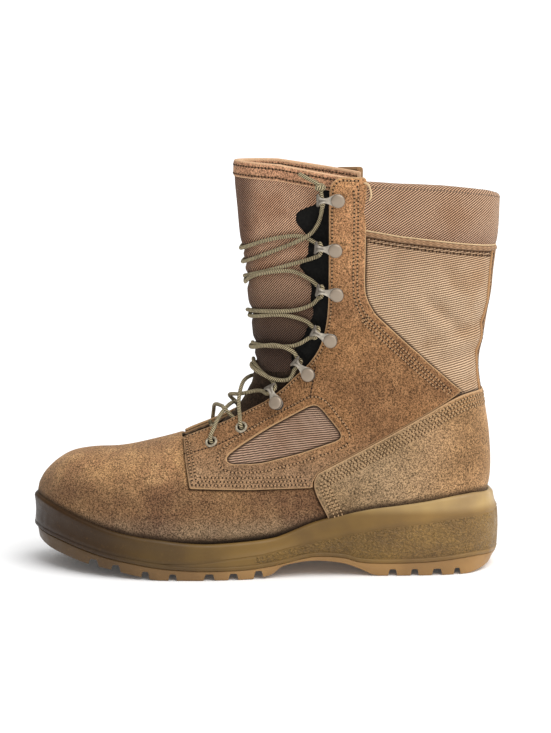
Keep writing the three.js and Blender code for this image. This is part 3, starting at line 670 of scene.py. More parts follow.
def lace_look():
    """A round lace of twisted light threads with dark valleys between them."""
    look = Look("lace", 0.8, specular=0.2, sheen=0.05)
    weave = look.value("weave", "Vector")
    turn = look.math("MULTIPLY", look.axis(0, weave), 2 * math.pi / LACE_PITCH)
    one = look.math("MULTIPLY", look.axis(2, weave), look.math("COSINE", turn))
    other = look.math("MULTIPLY", look.axis(1, weave), look.math("SINE", turn))
    twist = look.math("ADD", one, other)
    base = look.mix(look.fit(twist, -0.6, 0.7), "463a29", "d6c59c")
    base = look.mix(look.fit(look.noise(8, 3, 0.6), 0.45, 0.75, 0, 0.45), base, "5f5139")
    return look.finish(base, twist, 0.3)


def metal_look(name, body, worn, cap):
    """Painted metal with rubbed spots; a fitting's cap has its own colour, and painted shade darkens its
    hidden sides.
    """
    look = Look(name, 0.38, metallic=0.35, specular=0.5)
    base = look.mix(look.fit(look.noise(3.2, 4, 0.65), 0.4, 0.7), body, worn)
    base = look.mix(look.value("cap"), base, cap)
    base = look.mix(look.value("shade"), base, "3a3128")
    rough = look.fit(look.noise(1.4, 3, 0.6), 0.3, 0.7, 0.3, 0.5)
    return look.finish(base, look.noise(0.9, 2, 0.6), 0.04, rough)


def thread_look(name, dark, light, hole_shade="2e1e12"):
    """Sewing thread, and the painted shade of the holes at its ends."""
    look = Look(name, 0.75, specular=0.2)
    base = look.mix(look.value("hole_shade"), look.mix(look.noise(0.9, 3, 0.7), dark, light), hole_shade)
    return look.finish(base, look.noise(0.5, 3, 0.7), 0.08)


def plain_look(name, dark, light, size, roughness=0.9, depth=0.2):
    """Leather, thread or foam whose only pattern is a fine mottle."""
    look = Look(name, roughness, specular=0.2)
    base = look.mix(look.fit(look.noise(size, 4, 0.7), 0.3, 0.7), dark, light)
    return look.finish(base, look.noise(size * 0.5, 3, 0.7), depth)


# ---- pieces ----
def placed(name, data):
    """A new object in the scene."""
    made = bpy.data.objects.new(name, data)
    bpy.context.scene.collection.objects.link(made)
    return made


def mesh_object(name, points, triangles):
    mesh = bpy.data.meshes.new(name)
    mesh.from_pydata(to_frame(points), [], triangles)
    return placed(name, mesh)


def piece(name, points, triangles, look, values=None, replaces=(), sharp=CREASED):
    """A piece of the boot with its material, values at its points, and edges sharp over an angle."""
    made = mesh_object(name, points, triangles)
    mesh = made.data
    for key, array in (values or {}).items():
        kind, field = ("FLOAT_VECTOR", "vector") if array.ndim > 1 else ("FLOAT", "value")
        attribute = mesh.attributes.new(key, kind, "POINT")
        attribute.data.foreach_set(field, array.astype(np.float32).ravel())
    mesh.shade_smooth()
    mesh.set_sharp_from_angle(angle=math.radians(sharp))
    mesh.materials.append(look)
    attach(made, "root")
    if replaces:
        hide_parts(*replaces)
    return made


def eased(edge, thickness, radius=EDGE_ROUND):
    """The offset of a sheet's outer face: its cut edge is rounded over."""
    t = np.clip(edge / radius, 0, 1)
    return thickness * (0.62 + 0.38 * np.sqrt(1 - (1 - t) ** 2))


def sheet_piece(name, skin, base, thickness, look, replaces=()):
    """A cut sheet lying at an offset, with rounded edges; its value "edge" is 0 at its border."""
    for level in (0.25 * EDGE_ROUND, EDGE_ROUND):
        skin = skin.split("edge", level)
    points, triangles, values = skin.shell(base + eased(skin.values["edge"], thickness), base)
    kept = {key: values[key] for key in ("edge", "weave", "under") if key in values}
    return piece(name, points, triangles, look, kept, replaces), skin


def stitch_places(skin, rows, lift, keep):
    """Middles, directions and normals of stitches along rows of (value, its levels, runs or None)."""
    places = []
    lines = []
    for name, levels, run in rows:
        lines += [(line, run) for level in levels for line in skin.trace(name, level)]
    for (points, normals, runs), run in lines:
        along = lengths(points)
        count = int(along[-1] / STITCH_PITCH)
        if count < 2:
            continue
        at = (np.arange(count) + 0.5) * along[-1] / count
        middle = resampled(at, along, points)
        way = resampled(at + 0.6, along, points) - resampled(at - 0.6, along, points)
        normal = unit(resampled(at, along, normals))
        label = runs[np.searchsorted(along, at).clip(0, len(runs) - 1)]
        good = np.isin(label, run) if run else np.ones(count, bool)
        if keep:
            good &= keep(middle)
        places.append((middle[good] + normal[good] * lift, unit(way)[good], normal[good]))
    return [np.concatenate(column) for column in zip(*places)]


def facing_out(points, triangles):
    """A closed form's triangles, turned so that they face outwards."""
    a, b, c = points[triangles].transpose(1, 0, 2)
    return points, triangles if (a * np.cross(b, c)).sum() > 0 else triangles[:, ::-1]


def capped(rings, first, last):
    """Rings of points joined in a row, and closed at each end by a fan."""
    count, sides = rings.shape[:2]
    j = np.arange(sides)
    ahead = (j + 1) % sides
    start, end, base = np.full(sides, count * sides), np.full(sides, count * sides + 1), (count - 1) * sides
    triangles = np.concatenate([
        grid_triangles(count, sides), np.stack([start, j, ahead], 1),
        np.stack([end, base + ahead, base + j], 1)])
    return facing_out(np.concatenate([rings.reshape(-1, 3), [first, last]]), triangles)


def stitches(name, skin, rows, lift, look, keep=None):
    """Short thread capsules, each with a dark disc of painted shade for the hole it goes down into, joined in
    one mesh.

    They lie at a height over the skin; where that is negative they are seen from its inside.
    """
    centres, ways, normals = stitch_places(skin, rows, lift, keep)
    normals = normals * math.copysign(1, lift)
    turn = np.arange(6) * math.pi / 3
    rings = np.array([[
        (a * STITCH, r * THREAD_R * math.cos(t), r * THREAD_R * math.sin(t) - abs(a) * 0.5) for t in turn]
        for a, r in [(-0.45, 0.25), (-0.34, 0.85), (0, 1.0), (0.34, 0.85), (0.45, 0.25)]])
    thread = capped(rings, (-0.47 * STITCH, 0, -0.3), (0.47 * STITCH, 0, -0.3))
    hole_shade, hole_faces = turned([(0, 0.16), (0.5, 0.12), (0.72, 0.0), (0.72, -0.5), (0, -0.5)], 8)
    template, faces = joined([thread, (hole_shade + [0.52 * STITCH, 0, 0], hole_faces)])
    across = unit(np.cross(normals, ways))
    basis = np.stack([ways, across, np.cross(ways, across)], 1)
    points = (centres[:, None] + template @ basis).reshape(-1, 3)
    triangles = faces + (np.arange(len(centres)) * len(template))[:, None, None]
    # 1 on the hole discs, which carry the painted shade
    holes = np.tile(np.arange(len(template)) >= len(thread[0]), len(centres)).astype(float)
    return piece(name, points, triangles.reshape(-1, 3), look, {"hole_shade": holes}, sharp=SMOOTH)


def tube(line, radius, sides=16):
    """A round tube along points, with rounded ends; its weave is (length, cosine, sine of three turns)."""
    way = unit(np.gradient(line, axis=0))
    side = np.zeros_like(line)
    side[0] = unit(np.cross(way[0], [0.3, 0.9, 0.2]))
    for i in range(1, len(line)):
        side[i] = unit(side[i - 1] - way[i] * (side[i - 1] @ way[i]))
    up = np.cross(way, side)
    along = lengths(line)
    ends = np.minimum(along, along[-1] - along)
    wide = radius * np.sqrt(np.clip(1 - (1 - np.clip(ends / 1.2, 0.04, 1)) ** 2, 0, 1))
    turn = np.arange(sides) * 2 * math.pi / sides
    ring = side[:, None] * np.cos(turn)[:, None] + up[:, None] * np.sin(turn)[:, None]
    points, triangles = capped(line[:, None] + ring * wide[:, None, None], line[0], line[-1])
    weave = np.stack(np.broadcast_arrays(along[:, None], np.cos(3 * turn), np.sin(3 * turn)), -1)
    weave = weave.reshape(-1, 3)
    return points, triangles, {"weave": np.concatenate([weave, weave[:1], weave[-1:]])}


def tube_piece(name, line, radius, look, replaces=(), sides=16, sharp=SMOOTH):
    points, triangles, values = tube(line, radius, sides)
    return piece(name, points, triangles, look, values, replaces, sharp)


def joined(parts):
    """Several (points, triangles) as one."""
    starts = np.cumsum([0] + [len(points) for points, _ in parts])
    triangles = [faces + start for (_, faces), start in zip(parts, starts)]
    return np.concatenate([points for points, _ in parts]), np.concatenate(triangles)


def turned(profile, sides=28):
    """A lathed solid round local Z from (radius, height) points, whose first and last are on the axis."""
    turn = np.arange(sides) * 2 * math.pi / sides
    radius, height = np.array(profile[1:-1], float).T[:, :, None]
    rings = np.stack(np.broadcast_arrays(radius * np.cos(turn), radius * np.sin(turn), height), -1)
    return capped(rings, (0, 0, profile[0][1]), (0, 0, profile[-1][1]))


# ---- creases: a side-view line, how wide and how deep; troughs are negative ----
CREASES = [
    ([(67, 217), (71, 206), (78, 198)], 4.5, -1.3), ([(72, 198), (84, 178)], 4.5, -1.1),
    ([(79, 207), (85, 192)], 4, 0.7), ([(37, 204), (28, 189)], 5, -1.1),
    ([(47, 181), (27, 164)], 4, -1.9), ([(54, 177), (33, 156)], 5, 0.9),
    ([(10, 165), (30, 160), (50, 151)], 4, -1.6), ([(16, 146), (38, 141)], 4, -1.0),
    ([(12, 180), (36, 186)], 5, 0.8), ([(14, 155), (36, 150)], 4, 0.8), ([(20, 134), (34, 128)], 4, 0.7),
    ([(238, 62), (226, 48), (214, 41)], 6, -0.9), ([(226, 66), (210, 51), (200, 46)], 5, -0.8),
    ([(248, 70), (238, 54)], 7, 0.6), ([(262, 76), (250, 62)], 8, -0.5),
    ([(126, 137), (112, 124), (104, 117)], 7, -0.8), ([(92, 168), (104, 150)], 8, -0.6),
    ([(66, 86), (44, 70), (24, 66)], 9, -0.7), ([(92, 66), (70, 58)], 8, 0.5),
    ([(100, 240), (99, 205), (98, 176)], 4, 0.5), ([(208, 84), (211, 74), (215, 64)], 5.5, -1.3),
]


def line_distance(line, p):
    line = np.array(line, float)
    best = np.full(len(p), np.inf)
    for start, side in zip(line, np.diff(line, axis=0)):
        t = np.clip((p - start) @ side / (side @ side), 0, 1)
        best = np.minimum(best, np.linalg.norm(p - start - t[:, None] * side, axis=1))
    return best


def relieved(skin):
    """The skin with its creases and a slight unevenness pressed into it."""
    x, y, z = skin.points.T
    lift = np.zeros(len(x))
    for line, width, depth in CREASES:
        lift += 1.4 * depth * np.exp(-(line_distance(line, skin.points[:, [0, 2]]) / width) ** 2)
    lift *= smooth_step(abs(skin.normals[:, 1]) * 1.6)
    shaft = smooth_step((z - 120) / 25) * smooth_step((100 - x) / 14)
    lift += shaft * 0.45 * np.sin(x / 7.5 + 1.4 * np.sin(z / 12)) * np.sin(z / 9.5 + y / 31)
    lift += 0.16 * np.sin(x / 13 + y / 17) * np.sin(z / 10 + x / 29)
    return skin.pushed(lift)


def throat_runs(corner):
    """The opening for the tongue, beside and above the facings."""
    return [[(330, 110), (330, 330), (105, 330)], rounded(FACING_EDGE[::-1], corner), [(214, 92.4)]]


def quarter_runs():
    """The quarter's outline, in the order of LOW_RUN, FRONT_RUN, FACING_RUN, REAR_RUN, PANEL_RUN."""
    rear = [(x + GAP, z + GAP) for x, z in COUNTER_TOP[3:]] + [(123.2, 63)]
    return [
        QUARTER_LOW, rounded(QUARTER_FRONT, 3), rounded(FACING_EDGE, 12), rounded(FACING_REAR, 9)[:-1],
        PANEL_EDGE, rear]


def counter_runs():
    return [rounded(COUNTER_TOP, 14)[:-1], rounded(COUNTER_FRONT, 6), [(112, 20), (-40, 20)]]


class Boot:
    """The fine last with every field that the pieces are cut by."""

    def __init__(self):
        self.last = self.marked(relieved(last_skin(STEP, AROUND)))
        self.inside = self.marked(relieved(last_skin(2 * STEP, AROUND // 2)))
        self.tree = BVHTree.FromPolygons(self.last.points.tolist(), self.last.triangles.tolist())

    def marked(self, skin):
        """The skin with its fields, each positive on the side that is kept."""
        x, _, z = skin.points.T
        panel = [FACING_REAR[::-1], [(88.5, 330), (-40, 330)], COUNTER_TOP[:3], PANEL_EDGE[::-1]]
        window = rounded([*WINDOW, *WINDOW[:2]], 5)[1:-1]
        skin.values.update(
            open=np.minimum(-outline_field(throat_runs(12), skin)[0], FACING_TOP - z),
            panel=outline_field(panel, skin)[0],
            window=outline_field([window], skin)[0],
            rim=z - height_on(SOLE[:, [0, 3]], x) + RIM_LAP,
            footbed=z - height_on(FOOTBED, x) - 3,
            seam=height_on(COLLAR_SEAM, x) - z,
            counter=outline_field(counter_runs(), skin)[0],
            weave=np.stack([skin.values["arc"], z + WEAVE_TILT * x, 0 * x], 1))
        # painted shade beside the heel counter's edge
        skin.values["under"] = UNDER + skin.values["counter"]
        return skin

    def seat(self, x, z, side):
        """The outer surface's point and normal seen from one side at X, Z."""
        hit, normal, _, _ = self.tree.ray_cast(Vector((x, side * 90, z)), Vector((0, -side, 0)))
        return np.array(hit), np.array(normal)

    def fitting(self, x, z, side, ux, uz, lift):
        """Rows along, up and out of a fitting's place on one side, and the place itself."""
        place, normal = self.seat(x, z, side)
        along = unit(np.array([ux, 0, uz]) - normal * (normal[0] * ux + normal[2] * uz))
        return np.array([along, np.cross(normal, along) * -side, normal]), place + normal * lift


def hole_field(skin, boot):
    """How far outside the eyelet holes each point is."""
    far = np.full(len(skin.points), 99.0)
    for x, z in EYELETS:
        for side in (1, -1):
            axes, place = boot.fitting(x, z, side, 1, 0, 0)
            along, up, out = axes @ (skin.points - place).T
            far = np.where(abs(out) < 8, np.minimum(far, np.hypot(along, up) - 3.0), far)
    return far


def near_rim(values):
    """How near the midsole's rim each point is, as a distance that shades slowly."""
    return (values["rim"] - RIM_LAP) * 0.4


def make_upper(boot, looks):
    """The suede vamp, and the cloth of the window and the shaft set in it."""
    skin = boot.last.copy()
    values = skin.values
    quarter = outline_field(quarter_runs(), skin)[0]
    clear = np.minimum(np.maximum(-quarter, values["window"]), -values["counter"])
    # painted shade beside the quarter, the heel counter and the window's edge, and above the midsole's rim
    values["under"] = UNDER - np.minimum(clear, near_rim(values))
    values["holes"] = hole_field(skin, boot)
    skin = skin.above("open").above("rim").above("holes")
    values = skin.values
    values["vamp"] = np.minimum(-values["panel"], -values["window"]) - 4
    vamp = skin.above("vamp")
    vamp.values["edge"] = vamp.values["open"]
    sheet_piece("vamp", vamp, -FACE, FACE, looks["vamp"], ["upper"])
    values["cloth"] = -values["vamp"]
    values["seam"] = values["seam"] + 5
    cloth = skin.above("cloth").above("seam")
    cloth.values["edge"] = np.full(len(cloth.points), 9.0)
    x, _, z = cloth.points[cloth.triangles].mean(1).T
    windows = (x > 100) & (z < 122)
    sheet_piece("window_fabric", cloth.keep(windows), -FACE, FACE, looks["window"])
    shaft = cloth.keep(~windows)
    sheet_piece("shaft_fabric_panels", shaft, -FACE, FACE, looks["shaft"])
    stitches("collar_stitches", shaft, [("seam", (9.4, 11.8), None)], 0.15, looks["dark_thread"],
             keep=lambda p: p[:, 0] < COLLAR_FRONT + 1)


def make_lining(boot, looks):
    lining = boot.inside.copy()
    lining.values["seam"] = lining.values["seam"] + 2
    lining = lining.above("open").above("footbed").above("seam")
    points, triangles, values = lining.shell(LINING - WALL, -WALL)
    piece("lining", points, triangles, looks["lining"], {"weave": values["weave"]})


# rows of stitches: what they keep a distance from, the distances, and the outline's runs there
QUARTER_ROWS = [
    ("inside", (2.4, 4.9), (LOW_RUN, FRONT_RUN)), ("inside", (7.6,), (LOW_RUN,)),
    ("inside", (2.1,), (FACING_RUN,)), ("inside", (5.2, 7.8), (REAR_RUN,)),
    ("inside", (4.4, 6.8, 9.2), (PANEL_RUN,)), ("hem", (5.6,), (WINDOW_RUN,)),
]
COUNTER_ROWS = [("edge", (2.6, 4.7, 7.4, 9.5), (0,)), ("edge", (4.2, 6.8, 9.4), (1,))]


def make_quarters(boot, looks):
    for side, name in SIDES:
        skin = boot.last.on_side(side)
        values = skin.values
        inside, run = outline_field(quarter_runs(), skin)
        window = -values["window"]
        values["run"] = np.where(window < inside, WINDOW_RUN, run)
        values["stay"] = -outline_field([STAY_SEAM, [(90, 300), (300, 300)]], skin)[0]
        values["edge"] = np.minimum(np.minimum(inside, window), hole_field(skin, boot))
        values["inside"], values["hem"] = inside, window
        _, skin = sheet_piece(f"quarter_leather_{name}", skin.above("edge"), GAP, OVERLAY, looks["quarter"],
                              [f"quarter_{name}"])
        lift = GAP + OVERLAY + 0.05
        stitches(f"quarter_stitches_{name}", skin, QUARTER_ROWS, lift, looks["thread"])
        stitches(f"stay_stitches_{name}", skin, [("stay", (0,), None)], lift, looks["dark_thread"],
                 keep=lambda p: (p[:, 0] > 120) & (p[:, 0] < 206))


def make_counter(boot, looks):
    skin = boot.last.copy()
    values = skin.values
    values["edge"], values["run"] = outline_field(counter_runs(), skin)
    # painted shade above the midsole's rim
    values["under"] = UNDER - near_rim(values)
    _, skin = sheet_piece("counter_leather", skin.above("edge").above("rim"), GAP, OVERLAY + 0.45,
                          looks["counter"], ["heel_counter"])
    stitches("counter_stitches", skin, COUNTER_ROWS, GAP + OVERLAY + 0.5, looks["pale_thread"])


def make_backstay(boot, looks):
    skin = boot.last.copy()
    x, _, z = skin.points.T
    half = np.interp(z, [120, 165, 215], [9.5, 11, 14])
    over = z - height_on(COUNTER_TOP, x) + 2
    strip = np.minimum(half - abs(skin.values["arc"]), np.minimum(over, skin.values["seam"] - 0.5))
    skin.values["edge"] = np.where(x < 60, strip, -9)
    _, skin = sheet_piece("backstay", skin.above("edge"), 0.1, 1.2, looks["backstay"])
    stitches("backstay_stitches", skin, [("edge", (2.2,), None)], 1.35, looks["dark_thread"])


def collar_columns(boot):
    """The last's columns round the back, from the lateral front edge to the medial one: X, Y, Z, the
    normal and the arc at each point."""
    skin = boot.last
    rows = np.column_stack([skin.points, skin.normals, skin.values["arc"]])[:-1].reshape(-1, AROUND, 7)
    ahead = 7
    columns = np.arange(ahead, -(AROUND // 2) - ahead - 1, -1) % AROUND
    return rows[len(rows) // 2:, columns].transpose(1, 0, 2)


def at_height(columns, heights):
    """Each column's point, normal and arc at its own height."""
    found = [[np.interp(z, column[:, 2], row) for row in column.T] for z, column in zip(heights, columns)]
    points, outward, arc = np.split(np.array(found), [3, 6], 1)
    return points, unit(outward), arc[:, 0]


# the collar's outer and inner faces, from the seam, 0, to where its rim starts to roll, 1
COLLAR_OUTSIDE = [
    (0, -0.2), (0.03, 0.7), (0.1, 1.3), (0.25, 1.8), (0.45, 2.0), (0.65, 1.8), (0.85, 1.3), (1, 1.1)]
COLLAR_INSIDE = [(1, -6.0), (0.8, -6.6), (0.55, -6.9), (0.3, -6.6), (0.1, -5.8), (-0.02, -4.4), (-0.05, -2.6)]
COLLAR_ROLL = 3.5
COLLAR_MIDDLE = -2.4  # the roll's middle, from the last
# lines along the seam: how far under it, how far out at the front ends, and the rise further back
# the groove is a thin dark tube of painted shadow under the welt; the piping is a light line that is also a
# painted highlight on the collar's lower edge
COLLAR_LINES = [
    ("collar_welt", 1.9, -0.9, 1.2, 1.6, 16, "welt"), ("collar_piping_and_highlight", -0.3, -0.6, 1.2, 0.5, 8, "piping"),
    ("collar_groove_shadow", 3.7, -0.6, 0.75, 0.4, 8, "groove"),
]


def make_collar(boot, looks):
    """The padded band: rings that follow each other over the rim, closed at both front ends."""
    columns = collar_columns(boot)
    x, y, _ = at_height(columns, np.full(len(columns), 235))[0].T
    seam, rim = height_on(COLLAR_SEAM, x), height_on(COLLAR_RIM, x) + RIM_SLOPE * y
    top = rim - COLLAR_ROLL
    count = len(seam)
    j = np.arange(count)
    tuck = smooth_step(np.minimum(j, j[::-1]) * STEP / 7)
    bulk = 0.35 * np.sin(j / 5.3) * np.sin(j / 2.9 + 1)
    rings = []  # (height, offset, weave) of each
    for share, offset in COLLAR_OUTSIDE:
        height = seam + share * (top - seam)
        offset = -0.4 + (offset + bulk * math.sin(math.pi * share) + 0.4) * tuck
        rings.append((height, offset, height + WEAVE_TILT * 80))
    for turn in np.linspace(0.2, math.pi - 0.2, 9):
        offset = COLLAR_MIDDLE + (COLLAR_ROLL + 0.1) * math.cos(turn)
        rings.append((top + COLLAR_ROLL * math.sin(turn), offset, rim + turn * COLLAR_ROLL))
    for share, offset in COLLAR_INSIDE:
        height = seam + share * (top - seam)
        rings.append((height, offset, 2 * rim + 12 - height))
    points, weave = [], []
    for height, offset, v in rings:
        on_last, normals, arc = at_height(columns, height)
        points.append(on_last + normals * np.reshape(offset, (-1, 1)))
        weave.append(np.column_stack([arc, v, 0 * arc]))
    n = len(rings)
    points = np.array(points)
    triangles = [grid_triangles(n, count, closed=False, ring=True)[:, ::-1]]
    for k, (column, flip) in enumerate(((0, 1), (count - 1, -1))):
        edge = np.arange(n) * count + column
        fan = np.stack([np.full(n, n * count + k), edge, np.roll(edge, -1)], 1)
        triangles.append(fan[:, ::flip])
    points = np.concatenate([points.reshape(-1, 3), points[:, [0, -1]].mean(0)])
    values = {"weave": np.concatenate([*weave, np.zeros((2, 3))])}
    collar = piece("collar_pad", points, np.concatenate(triangles), looks["collar"], values,
                   ["collar"])
    for name, drop, base, rise, radius, sides, look in COLLAR_LINES:
        on_last, normals, _ = at_height(columns, seam - drop)
        line = spaced(on_last + normals * (base + rise * tuck)[:, None], 1.5)
        tube_piece(name, line, radius, looks[look], sides=sides, sharp=CREASED)


# ---- laces ----
# side-view routes from each hook to the front, seen from the lateral side, and the front's height:
# from a hook's lower side, and to its upper side
LOWER = [
    ([(119.7, 232), (128, 223), (154, 211)], 204), ([(119.7, 211), (128, 208), (144, 203)], 194.6),
    ([(119.6, 183), (123.5, 179), (134.5, 175), (150, 173.6)], 172),
    ([(125, 157), (131, 153), (140, 150.6)], 150),
    ([(138, 128.8), (148, 128.6)], 135.5),
]
UPPER = [
    ([(119.7, 219), (131, 224), (151, 221)], 213), ([(118, 190), (125, 196), (138, 201), (157, 198)], 190.5),
    ([(122, 163.6), (128, 168.6), (144, 171.6)], 168.2), ([(132, 142), (136, 148.5), (147.5, 151.6)], 147),
    ([(149.5, 127.6), (156, 132)], 139),
]
# the lace below the hooks, by its first eyelet's side: from that eyelet to the one opposite, from
# there towards the lowest hook, and its last place over the tongue
LOW_LACE = {
    1: ([(188, 25.5, 96), (184.6, 17, 102.6), (178, 4, 108.6), (173.4, -12, 107), (170.6, -19, 97.5)],
        [(173, -20, 105.5), (178, -9, 113), (170.5, 6, 116.2)], (157, 119.6)),
    -1: ([(189, -23, 99.5), (187.5, -12, 106), (181, 4, 106.4), (175.6, 14, 102.4), (170.6, 19, 97.5)],
         [(170.6, 22, 103), (171.4, 12.5, 114), (168, 1, 124.5)], (158, 126)),
}
# the lace's lowest bar: X and height of its middle, and its lateral end
BAR_MIDDLE = (189.8, 94.5)
BAR_END = (189.3, 12, 90.5)
# behind a hook's neck, and through an eyelet, in a fitting's own axes
HOOK_TURN = [(10.4, -4.4, 0.9), (9.7, -2.4, 1.6), (9.6, 0, 1.8), (10.1, 1.9, 1.6), (11.3, 3.1, 0.9)]
EYELET_WAY = [(0, 1.6, -5.5), (0, 0.3, -2.5), (0, 0, 0.6), (0.2, 2.2, 2.6)]
STAND = LACE_R - 0.35  # the lace's middle over the tongue, which gives a little


def tree_of(points):
    tree = KDTree(len(points))
    for k, place in enumerate(points):
        tree.insert(place, k)
    tree.balance()
    return tree


class Lacing:
    """Routes of the two halves of the lace, over the tongue and behind the hooks."""

    def __init__(self, boot, tongue):
        self.boot = boot
        self.tongue = BVHTree.FromPolygons(tongue.points.tolist(), tongue.triangles.tolist())

    def on_tongue(self, x, z, side, lift=0.0):
        """A place on the tongue seen from one side at X, Z, or on its front where it ends short of that."""
        hit, normal, _, _ = self.tongue.ray_cast(Vector((x, side * 90, z)), Vector((0, -side, 0)))
        if hit is None:
            return self.on_front(z, side * 6.0)
        return np.array(hit) + np.array(normal) * (STAND + lift)

    def on_front(self, z, y=0.0):
        hit, normal, _, _ = self.tongue.ray_cast(Vector((280, y + 0.01, z)), Vector((-1, 0, 0)))
        return np.array(hit) + np.array(normal) * STAND

    def through(self, way, x, z, side, ux=1, uz=0):
        """Points of a way given in a fitting's own axes."""
        axes, place = self.boot.fitting(x, z, side, ux, uz, GAP + OVERLAY)
        return list(place + np.array(way) @ axes)

    def hook(self, i, side):
        x, z, ux, uz = HOOKS[i]
        return self.through(HOOK_TURN, x, z, side, ux, uz)

    def across(self, i, side):
        """Points from hook i+1 on one side, over the tongue, to hook i on the other."""
        route, front = (UPPER if side == 1 else LOWER)[i]
        end = HOOKS[i][1] - 7 if side == 1 else HOOKS[i + 1][1] + 7
        points = [self.on_tongue(x, z, 1) for x, z in route] + [self.on_front(front)]
        for x, share in ((160, 0.25), (147, 0.5), (132, 0.8)):
            points.append(self.on_tongue(x, front + share * (end - front), -1))
        return points if side == 1 else points[::-1]

    def route(self, side):
        """One half of the lace, from the middle of the bar up to a top hook; side is its first eyelet's."""
        lower, upper, (x, z) = LOW_LACE[side]
        middle, height = BAR_MIDDLE
        front = self.on_front(height - 1)[1]
        points = [np.array([middle, front, height]), np.array(BAR_END) * [1, side, 1]]
        points += self.through(EYELET_WAY, *EYELETS[1], side)
        points += [*lower, *self.through(EYELET_WAY, *EYELETS[0], -side)]
        points += [*upper, self.on_tongue(x, z, side, 0.4)]
        for i in range(len(HOOKS) - 1, 0, -1):
            points += self.hook(i, side) + self.across(i - 1, side)
            side = -side
        points += self.hook(0, side)[:3 if side == 1 else 5]
        return spline(points, 1.0)

    def hugging(self, line):
        """The line drawn onto the tongue where it is near it, and the tongue's normals along it."""
        line, normals = line.copy(), np.zeros_like(line)
        for k, place in enumerate(line):
            hit, normals[k], _, _ = self.tongue.find_nearest(place)
            off = (place - np.array(hit)) @ normals[k]
            if place[2] > 128 and off < 6.5:
                share = 1.0 if off < STAND else smooth_step((6.5 - off) / 3.5)
                line[k] += normals[k] * (STAND - off) * share
        return line, normals


def lifted_over(line, normals, under):
    """The line raised along its normals where it would run into the lace under it."""
    tree = tree_of(under)
    lift = np.zeros(len(line))
    for k, place in enumerate(line):
        near, _, far = tree.find(place)
        rise = (np.array(near) - place) @ normals[k]
        aside = max(0.0, far * far - rise * rise)
        if aside < 4 * LACE_R ** 2:
            lift[k] = max(0.0, math.sqrt(4 * LACE_R ** 2 - aside) + rise)
    spread = np.array([lift[max(0, k - 2):k + 3].max() for k in range(len(lift))])
    kernel = np.exp(-(np.arange(-8, 9) / 3.2) ** 2)
    lift = np.maximum(np.convolve(spread, kernel / kernel.sum(), "same"), lift * 0.96)
    return line + normals * lift[:, None]


def smoothed(line):
    for _ in range(3):
        line[1:-1] = (line[:-2] + 2 * line[1:-1] + line[2:]) / 4
    return line


def make_laces(laces, looks):
    """Both halves of the fastened lace; the second lies over the first where they cross."""
    under = smoothed(laces.hugging(laces.route(1))[0])
    over = smoothed(lifted_over(*laces.hugging(laces.route(-1)), under))
    nodes = [f"lace_crossing_{i + 1}" for i in range(7)] + ["lace_bar"]
    tube_piece("lace_a", under, LACE_R, looks["lace"], nodes)
    tube_piece("lace_b", over, LACE_R, looks["lace"])
    return np.concatenate([under, over])


# the lace's free end, from behind the top hook's neck, through its knot
TAIL = [
    (117.8, 38, 243.6), (117.6, 38.3, 245.5), (117.4, 38.6, 249), (117.8, 38.2, 253), (118.2, 37.4, 256.4),
    (120.6, 37, 259), (125.5, 35.5, 261.6), (132.5, 32.5, 265),
]
KNOT = (118.4, 37.6, 256.4)


def make_tail(looks):
    """The lace's visible end: up from behind the top hook, through a knot, and free."""
    line = spline(TAIL, 0.6)
    tail = tube_piece("lace_end", line, LACE_R, looks["lace"], ["lace_tail"])
    turn = np.linspace(0, 4 * math.pi, 60)
    loop = np.column_stack([2.3 * np.sin(turn), 2.2 * np.cos(turn), 1.5 * np.sin(turn / 2) * np.cos(turn)])
    knot = tube_piece("lace_knot_turns", spaced(KNOT + loop, 0.7), 1.35, looks["lace"], ["lace_knot"])
    to_frame(line[0])
    to_frame(line).tolist()


# ---- the tongue ----
def pressed_tongue(boot, skin, lace_points):
    """The tongue's skin within its outline, dented by the lace and kept inside the upper's wall."""
    laces = tree_of(lace_points)
    runs = [TONGUE_TOP, TONGUE_REAR, [(222, 60), (240, 60)], [(240, 110), (250, 271.5)]]
    inside = outline_field(runs, skin)[0]
    skin.values["outline"] = inside
    covered = smooth_step((4 - outline_field(throat_runs(0), skin)[0]) / 7)
    push = np.zeros(len(inside))
    for k in np.flatnonzero(inside > -4):
        place = skin.points[k]
        push[k] -= 1.9 * math.exp(-(laces.find(place)[2] / 3.0) ** 2)
        if covered[k] > 0:
            hit, normal, _, _ = boot.tree.find_nearest(place)
            push[k] -= max(0.0, (Vector(place) - hit).dot(normal) + WALL + 1.0) * covered[k]
    x, y, z = skin.points.T
    push += 0.5 * np.sin(z / 11 + x / 23) * np.sin(y / 9 + z / 17)
    return skin.pushed(push).above("outline")


def marked_tongue(skin):
    """The tongue's skin with the fields that divide it into binding, twill, gusset and base; the gusset and
    the base are painted dark as shade.
    """
    x, _, z = skin.points.T
    top = height_on(TONGUE_TOP[::-1], x) - z
    side = x - np.interp(z, *np.array(GUSSET_EDGE)[::-1, ::-1].T) + 0.6 * np.sin(z / 2.7)
    low = z - 132.5 + 0.1 * (x - 150)
    skin.values.update(
        band=10.6 - top, fabric=top - 10, side=side, gusset=1.5 - side, low=low, base=1.0 - low,
        weave=np.stack([skin.values["arc"], z, 0 * z], 1), edge=np.full(len(z), 9.0))
    return skin


